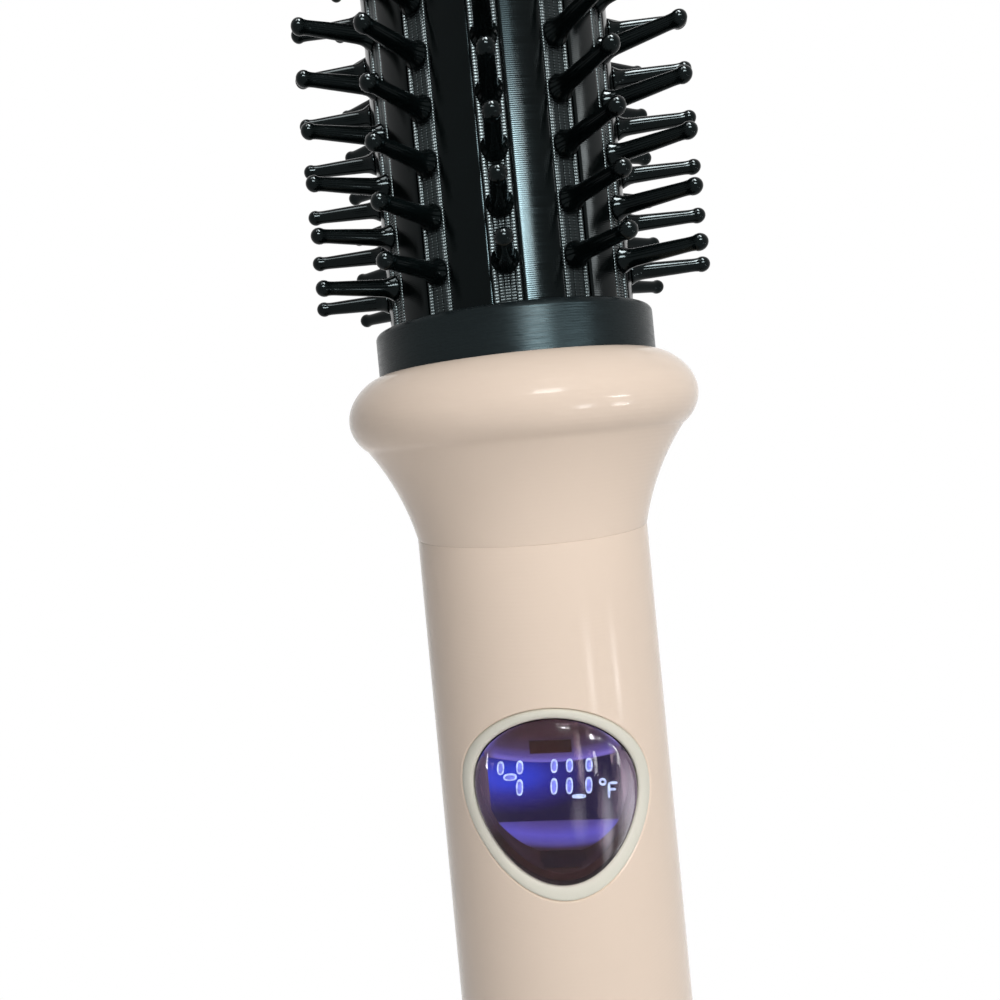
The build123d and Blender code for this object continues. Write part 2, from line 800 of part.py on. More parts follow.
def make_tip():
    """Insulating ring, cool tip, and the screw, anchor and cover that hold and close it."""
    spigot = barrel_bore - fixed_gap
    screw_clear = tip_screw_radius + fixed_gap
    spigot_foot_z = barrel_top_z - cool_tip_spigot
    end_radius = cool_tip_radius - cool_tip_round
    seat_z = tip_z + tip_floor
    cover_z = tip_end_z - tip_cover_thickness

    with BuildPart() as insulator:
        with BuildSketch(Plane.XY.offset(barrel_top_z)):
            Circle(barrel_radius)
            Circle(barrel_bore + fixed_gap, mode=Mode.SUBTRACT)
        extrude(amount=tip_insulator_thickness)
    save(insulator, "tip_insulator")

    with BuildPart() as cool_tip:
        with BuildSketch(Plane.XZ):
            with BuildLine():
                side = Line((cool_tip_radius, tip_z), (cool_tip_radius, tip_z + cool_tip_straight))
                nose = TangentArc(side @ 1, (end_radius, tip_end_z), tangent=(0, 1))
                Polyline(
                    nose @ 1, (tip_recess_radius, tip_end_z), (tip_recess_radius, seat_z),
                    (screw_clear, seat_z), (screw_clear, spigot_foot_z), (spigot, spigot_foot_z),
                    (spigot, tip_z), side @ 0,
                )
            make_face()
        revolve(axis=Axis.Z)
    save(cool_tip, "cool_tip")

    with BuildPart() as anchor:
        with BuildSketch(Plane.XY.offset(anchor_z)):
            Circle(spigot)
            Circle(screw_clear, mode=Mode.SUBTRACT)
        extrude(amount=tip_anchor_thickness)
    save(anchor, "tip_anchor")

    with BuildPart() as screw:
        with BuildSketch(Plane.XY.offset(seat_z)):
            Circle(tip_head_radius)
        extrude(amount=tip_head_height)
        with BuildSketch(Plane.XY.offset(anchor_z)):
            Circle(tip_screw_radius)
        extrude(amount=seat_z - anchor_z)
    save(screw, "tip_screw")

    with BuildPart() as cover:
        with BuildSketch(Plane.XY.offset(cover_z)):
            Circle(tip_recess_radius - fixed_gap)
        extrude(amount=tip_cover_thickness)
    save(cover, "tip_cover")


def make_display_bezel():
    """Cream rim in the handle's wall, with a flange behind the wall and a ledge under the lens."""
    with BuildPart() as bezel:
        with BuildSketch(Plane.XZ):
            add(
                pick_outline(
                    bezel_half_width + bezel_flange, bezel_half_height + bezel_flange, bezel_z
                )
            )
        extrude(amount=handle_radius)
        keep_within(shell_bore - fixed_gap)
        with BuildSketch(Plane.XZ):
            add(pick_outline(bezel_half_width, bezel_half_height, bezel_z))
        extrude(amount=handle_radius)
        keep_within(bezel_ledge_radius)
        with BuildSketch(Plane.XZ):
            add(pick_outline(bezel_half_width, bezel_half_height, bezel_z))
        extrude(amount=2 * handle_radius)
        keep_within(bezel_front_radius)
        with BuildSketch(Plane.XZ):
            add(
                pick_outline(
                    lens_half_width - bezel_ledge, lens_half_height - bezel_ledge, display_z
                )
            )
        extrude(amount=2 * handle_radius, mode=Mode.SUBTRACT)
        Cylinder(bezel_inner_radius, 2 * tip_end_z, mode=Mode.SUBTRACT)
    with BuildPart() as opening:
        with BuildSketch(Plane.XZ):
            add(
                pick_outline(
                    lens_half_width + fixed_gap / 2, lens_half_height + fixed_gap / 2, display_z
                )
            )
        extrude(amount=2 * handle_radius)
        Cylinder(bezel_ledge_radius, 2 * tip_end_z, mode=Mode.SUBTRACT)
    with BuildPart() as display_bezel:
        add(bezel.part)
        add(opening.part, mode=Mode.SUBTRACT)
    save(display_bezel, "display_bezel")


def dome_profile(radius, arc_radius):
    """Gives half of a dome's section, drawn from the dome's own axis outwards."""
    reach = 2 * lens_half_height
    edge_radius = radius - (arc_radius - sqrt(arc_radius**2 - reach**2))
    low_z = display_z - reach
    high_z = display_z + reach
    with BuildSketch() as profile:
        with BuildLine():
            ThreePointArc((edge_radius, low_z), (radius, display_z), (edge_radius, high_z))
            Polyline((edge_radius, high_z), (0, high_z), (0, low_z), (edge_radius, low_z))
        make_face()
    return profile.sketch


def make_display_lens():
    """Smoky domed lens of even thickness, curved both across and along the handle."""
    axis_plane = Plane((0, -dome_axis_depth, 0), x_dir=(1, 0, 0), z_dir=(0, -1, 0))
    dome_axis = Axis((0, -dome_axis_depth, 0), (0, 0, 1))
    inner_radius = dome_radius - lens_thickness
    with BuildPart() as inner_dome:
        with BuildSketch(axis_plane):
            add(dome_profile(inner_radius, dome_arc - lens_thickness))
        revolve(axis=dome_axis)
    with BuildPart() as outer_dome:
        with BuildSketch(axis_plane):
            add(dome_profile(dome_radius, dome_arc))
        revolve(axis=dome_axis)
    with BuildPart() as lens:
        with BuildSketch(Plane.XZ.offset(dome_axis_depth)):
            add(pick_outline(lens_half_width, lens_half_height, display_z))
        extrude(amount=2 * handle_radius)
        add(outer_dome.part, mode=Mode.INTERSECT)
        add(inner_dome.part, mode=Mode.SUBTRACT)
    save(lens, "display_lens")


def stroke_places(x, z, width, height, stroke, lit):
    """Gives (x, z, width, height) of each lit stroke of a character with seven strokes."""
    side = width / 2
    half = height / 2
    upright = half - stroke - 2 * digit_gap
    level = width - stroke - 2 * digit_gap
    strokes = {
        "top": (x, z + half, level, stroke),
        "middle": (x, z, level, stroke),
        "bottom": (x, z - half, level, stroke),
        "upper_left": (x - side, z + half / 2, stroke, upright),
        "lower_left": (x - side, z - half / 2, stroke, upright),
        "upper_right": (x + side, z + half / 2, stroke, upright),
        "lower_right": (x + side, z - half / 2, stroke, upright),
    }
    return [strokes[name] for name in lit]


def make_display():
    """The display block on the board, and the lit strokes of its reading on the block's face."""
    with BuildPart() as module:
        with BuildSketch(Plane.XZ.offset(board_front)):
            with Locations((0, display_z)):
                Rectangle(2 * module_half_width, 2 * module_half_height)
        extrude(amount=module_thickness)
    save(module, "display_module")

    reading = (
        ("upper_left", "middle", "upper_right", "lower_right"),
        ("upper_right", "lower_right"),
        ("top", "bottom", "upper_left", "lower_left", "upper_right", "lower_right"),
    )
    strokes = stroke_places(
        letter_x, display_z - letter_drop, letter_width, letter_height, letter_stroke,
        ("top", "middle", "upper_left", "lower_left"),
    )
    for place, lit in enumerate(reading):
        strokes += stroke_places(
            digit_start + place * digit_pitch, display_z + digit_rise, digit_width, digit_height,
            digit_stroke, lit,
        )
    with BuildPart() as digits:
        with BuildSketch(Plane.XZ.offset(board_front + module_thickness)):
            for x, z, width, height in strokes:
                with Locations((x, z)):
                    Rectangle(width, height)
            with Locations((degree_x, display_z - degree_drop)):
                Circle(degree_radius)
                Circle(degree_radius - letter_stroke, mode=Mode.SUBTRACT)
        extrude(amount=digit_thickness)
    save(digits, "display_digits")


def make_board():
    """The control board with its screws, its heater switch and its capacitor."""
    with BuildPart() as board:
        with BuildSketch(Plane.XZ.offset(board_back)):
            with Locations((0, board_bottom_z)):
                Rectangle(
                    2 * board_half_width, board_top_z - board_bottom_z,
                    align=(Align.CENTER, Align.MIN),
                )
            with Locations(*board_screw_places):
                Circle(board_screw_radius + fixed_gap, mode=Mode.SUBTRACT)
        extrude(amount=board_thickness)
    save(board, "control_board")

    with BuildPart() as screws:
        with BuildSketch(Plane.XZ.offset(board_back)):
            with Locations(*board_screw_places):
                Circle(board_head_radius)
        extrude(amount=-board_head_height)
        with BuildSketch(Plane.XZ.offset(board_back)):
            with Locations(*board_screw_places):
                Circle(board_screw_radius)
        extrude(amount=board_screw_length)
    save(screws, "board_screws")

    for name, width, depth, length, height in (
        ("heater_triac", triac_width, triac_depth, triac_length, display_z - triac_drop),
        (
            "mains_capacitor", capacitor_width, capacitor_depth, capacitor_length,
            power_z - capacitor_drop,
        ),
    ):
        with BuildPart() as component:
            with BuildSketch(Plane.XZ.offset(board_back)):
                with Locations((0, height)):
                    Rectangle(width, length)
            extrude(amount=-depth)
        save(component, name)


def make_buttons():
    """Round buttons with a flange behind the wall, each resting on the plunger of its own switch."""
    with BuildPart() as switches:
        for _, height, _ in buttons:
            with BuildSketch(Plane.XZ.offset(board_front)):
                with Locations((0, height)):
                    Rectangle(switch_size, switch_size)
            extrude(amount=switch_height)
            with BuildSketch(Plane.XZ.offset(switch_top)):
                with Locations((0, height)):
                    Circle(plunger_radius + button_gap / 2)
            extrude(amount=-plunger_well, mode=Mode.SUBTRACT)
    save(switches, "switch_bodies")

    for name, height, radius in buttons:
        with BuildPart() as button:
            with BuildSketch(Plane.XZ.offset(flange_bottom)):
                with Locations((0, height)):
                    Circle(radius)
            extrude(amount=handle_radius)
            keep_within(button_crown_radius)
            crown = button.faces().sort_by(Axis.Y)[0]
            fillet(crown.edges(), radius=button_edge)
            with BuildSketch(Plane.XZ.offset(flange_bottom)):
                with Locations((0, height)):
                    Circle(radius + button_flange)
            extrude(amount=button_flange_thickness)
            with BuildSketch(Plane.XZ.offset(plunger_top)):
                with Locations((0, height)):
                    Circle(button_stem_radius)
            extrude(amount=button_stem_length)
        save(button, f"{name}_button")

        with BuildPart() as plunger:
            with BuildSketch(Plane.XZ.offset(switch_top - plunger_inside)):
                with Locations((0, height)):
                    Circle(plunger_radius)
            extrude(amount=plunger_top - switch_top + plunger_inside)
        save(plunger, f"{name}_switch_plunger")


os.makedirs("parts", exist_ok=True)
make_front_shell()
make_rear_shell()
make_shell_screws()
make_tail_cap()
make_swivel()
make_mains_side()
make_neck_flare()
make_socket_and_collar()
make_barrel_core()
make_bristle_strips()
make_heater()
make_sensors()
make_inner_leads()
make_tip()
make_display_bezel()
make_display_lens()
make_display()
make_board()
make_buttons()
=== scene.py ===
import json
from math import acos, asin, atan2, copysign, cos, hypot, pi, radians, sin, sqrt, tan

import bmesh
import bpy
import numpy as np
from mathutils import Matrix
from mathutils.geometry import delaunay_2d_cdt, tessellate_polygon


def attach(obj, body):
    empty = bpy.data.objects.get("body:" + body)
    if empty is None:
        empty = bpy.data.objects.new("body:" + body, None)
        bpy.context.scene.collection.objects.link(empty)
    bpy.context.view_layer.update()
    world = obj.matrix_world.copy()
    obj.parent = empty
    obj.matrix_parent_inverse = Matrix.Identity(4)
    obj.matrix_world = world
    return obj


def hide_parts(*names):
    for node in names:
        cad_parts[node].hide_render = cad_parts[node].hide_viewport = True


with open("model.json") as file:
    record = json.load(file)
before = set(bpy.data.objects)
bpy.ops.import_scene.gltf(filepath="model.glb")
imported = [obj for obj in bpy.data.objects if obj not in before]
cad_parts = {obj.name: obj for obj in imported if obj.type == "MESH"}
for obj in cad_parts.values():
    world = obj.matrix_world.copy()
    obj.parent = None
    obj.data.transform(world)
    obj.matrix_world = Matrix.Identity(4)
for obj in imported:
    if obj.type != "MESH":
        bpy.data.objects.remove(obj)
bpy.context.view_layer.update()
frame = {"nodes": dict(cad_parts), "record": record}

scene = bpy.context.scene

# Millimetres are used for every shape below, and MM turns them into the scene's metres.
MM = 0.001

# Heights along the brush
TAIL_Z, SHELL_Z, DISPLAY_Z, NECK_Z = 5.0, 12.0, 104.7, 134.0
BEZEL_Z = DISPLAY_Z - 0.22
SOCKET_Z, BARREL_Z = 145.5, 147.7
COLLAR_Z, COLLAR_TOP_Z = 153.5, 161.45
FIRST_PIN_Z, PIN_PITCH, PIN_COUNT = 166.48, 6.35, 25
BARREL_TOP_Z, TIP_Z, TIP_END_Z = 324.18, 326.18, 344.18
BUTTONS = (("power", 72.0, 4.2), ("plus", 59.0, 3.6), ("minus", 48.0, 3.6))
SHELL_SCREWS = (36.0, 122.5)

# Radii
HANDLE_R, SHELL_BORE = 15.1, 13.1
BARREL_R, ROWS = 16.0, 12
DOME_DEPTH, DOME_R, DOME_ARC, LENS_THICK, LENS_SIZE = 2.7, 13.3, 57.0, 1.6, 9.4
MODULE_Y = 9.2


def put(name, data):
    """Puts a new object in the scene."""
    thing = bpy.data.objects.new(name, data)
    scene.collection.objects.link(thing)
    return thing


# Materials

def wire(tree, node, inputs):
    """Sets a node's inputs, and links those whose value is another node's output."""
    for name, value in inputs.items():
        if isinstance(value, bpy.types.NodeSocket):
            tree.links.new(value, node.inputs[name])
        else:
            node.inputs[name].default_value = value


def add(tree, kind, inputs, output=0, **choices):
    """Adds a shader node and gives back one of its outputs."""
    node = tree.nodes.new("ShaderNode" + kind)
    for name, choice in choices.items():
        setattr(node, name, choice)
    wire(tree, node, inputs)
    return node.outputs[output]


def ramp(tree, value, table):
    """Colours a value by a table of (place from 0 to 1, colour)."""
    colours = add(tree, "ValToRGB", {"Fac": value}, "Color")
    stops = colours.node.color_ramp.elements
    stops[0].position, stops[1].position = table[0][0], table[-1][0]
    stops[0].color, stops[1].color = (*table[0][1], 1), (*table[-1][1], 1)
    for place, colour in table[1:-1]:
        stops.new(place).color = (*colour, 1)
    return colours


def scaled(tree, value, low, high, to_low=0.0, to_high=1.0, kind="LINEAR"):
    """Maps a value from one range onto another."""
    return add(tree, "MapRange", {"Value": value, "From Min": low, "From Max": high,
                                  "To Min": to_low, "To Max": to_high}, interpolation_type=kind)


def reckon(tree, operation, *values):
    """A sum of one to three values."""
    return add(tree, "Math", dict(enumerate(values)), operation=operation)


def noise(tree, place, scale, detail=2.0):
    """Soft random clouds over the object, from 0 to 1."""
    return add(tree, "TexNoise", {"Vector": place, "Scale": scale, "Detail": detail})


def turned_lines(tree, place, pitch, distortion, detail, detail_scale):
    """Fine even lines round the brush's axis, a pitch in millimetres apart."""
    return add(tree, "TexWave", {"Vector": place, "Scale": pi / 10 / (pitch * MM),
                                 "Distortion": distortion, "Detail": detail,
                                 "Detail Scale": detail_scale}, "Fac", bands_direction="Z")


def relief(tree, height, depth, **under):
    """A bump of a depth in millimetres, on top of another if one is given."""
    return add(tree, "Bump", {"Height": height, "Distance": depth * MM, **under})


def new_material(name):
    """An empty material that knows the place on the object."""
    mat = bpy.data.materials.new(name)
    mat.use_nodes = True
    mat.node_tree.nodes.new("ShaderNodeTexCoord")
    return mat


def parts(mat):
    """A material's node tree, its shader and the place on the object."""
    tree = mat.node_tree
    return tree, tree.nodes["Principled BSDF"], tree.nodes["Texture Coordinate"].outputs["Object"]


def surface(name, colour, rough, spread=0.05, rough_spread=0.05, grain=900.0, bump=0.0,
            bump_scale=3000.0, stretch=(1.0, 1.0, 1.0), metallic=0.0, specular=0.5,
            lines=0.0, line_pitch=0.3, cloud=60.0, sheen_colour=(1.0, 1.0, 1.0)):
    """A material whose colour, roughness and relief vary by procedural noise over the surface."""
    mat = new_material(name)
    tree, shader, place = parts(mat)
    stretched = add(tree, "Mapping", {"Vector": place, "Scale": stretch})
    darker = [c * (1 - spread) for c in colour]
    lighter = [min(1.0, c * (1 + spread)) for c in colour]
    wire(tree, shader, {
        "Metallic": metallic,
        "Specular IOR Level": specular,
        "Specular Tint": (*sheen_colour, 1.0),
        "Base Color": ramp(tree, noise(tree, place, cloud, 3.0), ((0.3, darker), (0.7, lighter))),
        "Roughness": scaled(tree, noise(tree, stretched, grain, 4.0), 0.3, 0.7,
                            max(0.02, rough - rough_spread), rough + rough_spread),
    })
    normal = {}
    if bump:
        normal = {"Normal": relief(tree, noise(tree, stretched, bump_scale, 3.0), bump)}
    if lines:
        wave = turned_lines(tree, place, line_pitch, 0.35, 1.0, 0.4)
        normal = {"Normal": relief(tree, wave, lines, **normal)}
    wire(tree, shader, normal)
    return mat


def toothed(name, crest, rough, specular, pitch):
    """A coat over fine turned teeth: glossy crests with dull notches between them."""
    mat = surface(name, crest, rough, spread=0.2, specular=specular, sheen_colour=ICE)
    tree, shader, place = parts(mat)
    wave = turned_lines(tree, place, pitch, 0.5, 2.0, 0.3)
    wire(tree, shader, {"Roughness": scaled(tree, wave, 0.30, 0.45, 1.0, rough),
                        "Normal": relief(tree, wave, 0.008)})
    return mat


def glass(name, colour, rough):
    """Smoky clear plastic, a little hazier and darker in faint clouds."""
    mat = surface(name, colour, rough, spread=0.06, rough_spread=0.01, grain=300.0, cloud=90.0)
    tree, shader, _ = parts(mat)
    wire(tree, shader, {"Transmission Weight": 1.0, "IOR": 1.22})
    return mat


def glow(name, colour, light, strength):
    """A lit face whose brightness varies by faint noise."""
    mat = surface(name, colour, 0.4, grain=2500.0, cloud=1200.0, spread=0.1)
    tree, shader, place = parts(mat)
    dim = [0.5 * c for c in light]
    wire(tree, shader, {
        "Emission Strength": strength,
        "Emission Color": ramp(tree, noise(tree, place, 2600.0), ((0.35, dim), (0.6, light))),
    })
    return mat


BLUSH = (0.80, 0.665, 0.56)
INK = (0.009, 0.0130, 0.0145)
ICE = (0.80, 0.97, 1.0)
CREAM = (0.72, 0.705, 0.625)
looks = {
    "handle_plastic": surface(
        "pink_gloss_plastic", BLUSH, 0.16, spread=0.015, rough_spread=0.02, grain=500.0, cloud=35.0,
        lines=0.0028, line_pitch=0.5, specular=0.10),
    "plug_plastic": surface("pink_plug_plastic", BLUSH, 0.3, spread=0.02, bump=0.004, specular=0.10),
    "collar_plastic": surface(
        "turned_collar_plastic", INK, 0.28, spread=0.12, grain=700.0, stretch=(0.5, 0.5, 3.0),
        bump=0.022, bump_scale=900.0, lines=0.004, specular=0.09, sheen_colour=ICE),
    "tip_plastic": surface(
        "matte_tip_plastic", INK, 0.42, spread=0.1, bump=0.008, bump_scale=4200.0, specular=0.2),
    "heatproof_plastic": surface("heatproof_plastic", (0.03, 0.03, 0.032), 0.6, bump=0.006, specular=0.2),
    "coated_barrel": surface(
        "coated_barrel", (0.0010, 0.0018, 0.0019), 0.13, spread=0.2, rough_spread=0.04,
        stretch=(0.12, 0.12, 5.0), lines=0.0045, line_pitch=0.24, specular=0.08, sheen_colour=ICE),
    "bristle_nylon": surface(
        "black_nylon", (0.0016, 0.0030, 0.0032), 0.10, spread=0.25, rough_spread=0.02,
        specular=0.10, sheen_colour=ICE),
    "bezel_plastic": surface("cream_rim_plastic", CREAM, 0.36, spread=0.02, bump=0.002, specular=0.15),
    "button_plastic": surface("cream_button_plastic", CREAM, 0.4, spread=0.02, bump=0.003, specular=0.3),
    "smoked_lens": glass("smoked_lens", (0.62, 0.49, 0.54), 0.06),
    "display_block": surface("display_tray", (0.03, 0.026, 0.04), 0.5, bump=0.004),
    "lit_digits": glow("lit_digits", (0.2, 0.3, 0.6), (0.45, 0.75, 1.0), 1.9),
    "circuit_board": surface("green_board", (0.012, 0.12, 0.05), 0.4, spread=0.2, bump=0.01, cloud=300.0),
    "black_component": surface("moulded_component", (0.02, 0.02, 0.022), 0.5, bump=0.008),
    "plunger_plastic": surface("natural_nylon", (0.72, 0.69, 0.62), 0.45, bump=0.004),
    "gland_plastic": surface(
        "gland_plastic", (0.022, 0.023, 0.026), 0.5, spread=0.15, bump=0.01, bump_scale=2500.0,
        specular=0.25),
    "aluminium": surface(
        "extruded_aluminium", (0.72, 0.73, 0.74), 0.35, metallic=1.0, stretch=(3.0, 3.0, 0.1),
        bump=0.006),
    "ceramic": surface("grey_ceramic", (0.2, 0.2, 0.21), 0.7, bump=0.012),
    "electrode_metal": surface("electrode_sheet", (0.7, 0.69, 0.67), 0.3, metallic=1.0, bump=0.004),
    "insulating_film": surface("amber_film", (0.6, 0.3, 0.05), 0.3, bump=0.003),
    "sensor_glass": surface("sensor_bead", (0.45, 0.14, 0.08), 0.3, bump=0.004),
    "steel": surface("zinc_steel", (0.58, 0.58, 0.57), 0.32, metallic=1.0, bump=0.004),
    "brass": surface("plain_brass", (0.75, 0.55, 0.24), 0.28, metallic=1.0, bump=0.004),
    "lead_rubber": surface("white_lead_sleeve", (0.68, 0.67, 0.62), 0.5, bump=0.006),
}
rib_look = toothed("barrel_rib", (0.005, 0.0075, 0.008), 0.24, 0.5, 0.36)
strip_look = toothed("strip_top", (0.004, 0.0055, 0.006), 0.26, 0.26, 0.34)
digit_core_look = glow("digit_cores", (0.1, 0.12, 0.5), (0.16, 0.28, 1.0), 1.5)
# Painted shade: a dark lining for the rim's lens seat and the lens's rounded edge, which lie in shade.
seat_shade_look = surface("lens_seat_painted_shade", (0.030, 0.020, 0.024), 0.6, bump=0.002, specular=0.1)
mark_look = surface("printed_mark", (0.10, 0.095, 0.09), 0.5, bump=0.002)
tape_look = surface("brown_tape", (0.032, 0.015, 0.011), 0.5, spread=0.15, specular=0.1)


# Mesh helpers

def evenly(low, high, count):
    """Values from low to high in as many equal steps."""
    return [low + (high - low) * k / count for k in range(count + 1)]


def face_outwards(mesh):
    """Turns a closed mesh's faces outwards."""
    edited = bmesh.new()
    edited.from_mesh(mesh)
    bmesh.ops.recalc_face_normals(edited, faces=edited.faces)
    edited.to_mesh(mesh)
    edited.free()


def new_mesh(name, points, faces, sharp, kinds=None):
    """A smooth closed mesh from points in millimetres, with edges over an angle kept sharp."""
    mesh = bpy.data.meshes.new(name)
    mesh.from_pydata([tuple(float(c) * MM for c in p) for p in points], [], faces)
    if kinds is not None:
        mesh.polygons.foreach_set("material_index", kinds)
    mesh.validate()
    face_outwards(mesh)
    mesh.polygons.foreach_set("use_smooth", [True] * len(mesh.polygons))
    mesh.set_sharp_from_angle(angle=radians(sharp))
    return mesh


def finish_piece(name, mesh, slot, body="handle", hides=(), materials=None):
    """Puts a mesh in the scene as a piece that rides a body and stands for some CAD nodes."""
    for mat in materials or (looks[slot],):
        mesh.materials.append(mat)
    piece = put(name, mesh)
    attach(piece, body)
    if hides:
        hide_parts(*hides)
    return piece


def make_piece(name, points, faces, slot, sharp=32.0, kinds=None, **roles):
    """Makes a piece from points in millimetres and faces."""
    return finish_piece(name, new_mesh(name, points, faces, sharp, kinds), slot, **roles)


def sweep(centre, first, last, steps):
    """Points of the shorter arc about a centre, from one place to another."""
    start = atan2(*(first - centre)[::-1])
    turn = atan2(*(last - centre)[::-1]) - start
    turn = (turn + pi) % (2 * pi) - pi
    radius = np.linalg.norm(first - centre)
    angles = [start + turn * step / steps for step in range(steps + 1)]
    return [(centre[0] + radius * cos(a), centre[1] + radius * sin(a)) for a in angles]


def rounded(corners, steps=5):
    """Turns a closed loop of (x, y, radius) corners into points, with an arc at each corner."""
    result = []
    for before, (x, y, radius), after in zip(corners[-1:] + corners, corners, corners[1:] + corners):
        if radius == 0:
            result.append((x, y))
            continue
        p = np.array((x, y), float)
        back, ahead = np.array(before[:2]) - p, np.array(after[:2]) - p
        back_length, ahead_length = np.linalg.norm(back), np.linalg.norm(ahead)
        back, ahead = back / back_length, ahead / ahead_length
        half = acos(max(-1.0, min(1.0, float(back @ ahead)))) / 2
        cut = min(radius / tan(half), 0.48 * back_length, 0.48 * ahead_length)
        middle = (back + ahead) / np.linalg.norm(back + ahead)
        centre = p + middle * cut / cos(half)
        result += sweep(centre, p + back * cut, p + ahead * cut, steps)
    return result


def loft(rings, ends="joined"):
    """Points and faces over rings of as many points each, where a ring of one point is a tip."""
    points, numbers, faces = [], [], []
    count = max(len(ring) for ring in rings)
    for ring in rings:
        first = len(points)
        points += ring
        numbers.append([first + k if len(ring) > 1 else first for k in range(count)])
    following = numbers[1:] + (numbers[:1] if ends == "joined" else [])
    for ring, after in zip(numbers, following):
        for k in range(count):
            n = (k + 1) % count
            face = list(dict.fromkeys((ring[k], ring[n], after[n], after[k])))
            if len(face) > 2:
                faces.append(face)
    if ends == "capped":
        faces += [numbers[0], numbers[-1]]
    return points, faces


def revolve(profile, segments=192, ripple=None):
    """Points and faces of a closed profile of (radius, z) turned about the brush's axis."""
    angles = [2 * pi * k / segments for k in range(segments)]
    rings = []
    for radius, z in profile:
        if radius < 1e-6:
            rings.append([(0.0, 0.0, z)])
            continue
        reach = [radius - (ripple(radius, z, angle) if ripple else 0.0) for angle in angles]
        rings.append([(r * sin(a), -r * cos(a), z) for r, a in zip(reach, angles)])
    return loft(rings)


def prism(section, low, high, ends="capped"):
    """Points and faces of a section of (x, y) drawn out from one height to another."""
    return loft([[(x, y, z) for x, y in section] for z in (low, high)], ends)


def join(*shapes):
    """Puts several (points, faces) into one."""
    points, faces = [], []
    for more_points, more_faces in shapes:
        base = len(points)
        points += list(more_points)
        faces += [[base + i for i in face] for face in more_faces]
    return points, faces


def turn_z(points, degrees):
    """Turns points about the brush's axis."""
    a = radians(degrees)
    c, s = cos(a), sin(a)
    return [(c * x - s * y, s * x + c * y, z) for x, y, z in points]


def bead_profile(steps=48):
    """The rolled bead's side: one cubic on each half, smooth at the middle point."""
    fixed = np.array([(20.6, 12.25), (22.3, 14.35), (22.7, 16.35), (21.55, 19.4), (18.3, 21.75)])
    t = np.concatenate([[0.0], np.cumsum(np.linalg.norm(np.diff(fixed, axis=0), axis=1))])
    power, none = np.arange(4), np.zeros(4)
    rows = [[*t[i] ** power, *none] for i in (0, 1, 2)] + [[*none, *t[i] ** power] for i in (2, 3, 4)]
    for joint in ([0, 1, 2 * t[2], 3 * t[2] ** 2], [0, 0, 2, 6 * t[2]]):
        rows.append([*joint, *[-value for value in joint]])
    sides = [*fixed[:3], *fixed[2:], none[:2], none[:2]]
    lower, upper = np.split(np.linalg.solve(np.array(rows), np.array(sides)), 2)
    return [tuple(s ** power @ (lower if s <= t[2] else upper)) for s in np.linspace(0, t[-1], steps)]


def arc_through(a, b, c, steps):
    """Points of the circular arc from a through b to c."""
    a, b, c = (np.array(p, float) for p in (a, b, c))
    centre = np.linalg.solve(2 * np.array([b - a, c - a]), np.array([b @ b - a @ a, c @ c - a @ a]))
    return sweep(centre, a, c, steps)


def window_outline(half_width, half_height, middle_z, count=160):
    """The window's outline as (x, z): a circle swollen at its shoulders and its chin."""
    result = []
    for k in range(count):
        angle = 2 * pi * k / count
        radius = (half_width + half_height) / 2 + (half_width - half_height) / 2 * cos(2 * angle)
        radius += 0.12 * sin(3 * angle) + 0.083 * cos(4 * angle)
        result.append((radius * cos(angle), middle_z + radius * sin(angle)))
    return result


def circle(radius, middle_z, count=72):
    """A round outline as (x, z)."""
    angles = [2 * pi * k / count for k in range(count)]
    return [(radius * cos(a), middle_z + radius * sin(a)) for a in angles]


# Handle shells

def inside(x, z, loop):
    """True if the point lies inside the closed loop."""
    found = False
    for (x1, z1), (x2, z2) in zip(loop, loop[1:] + loop[:1]):
        if (z1 > z) != (z2 > z) and x < (x2 - x1) * (z - z1) / (z2 - z1) + x1:
            found = not found
    return found


def unrolled(loop):
    """A loop seen from the front, laid flat along the handle's round."""
    return [(HANDLE_R * asin(max(-1.0, min(1.0, x / HANDLE_R))), z) for x, z in loop]


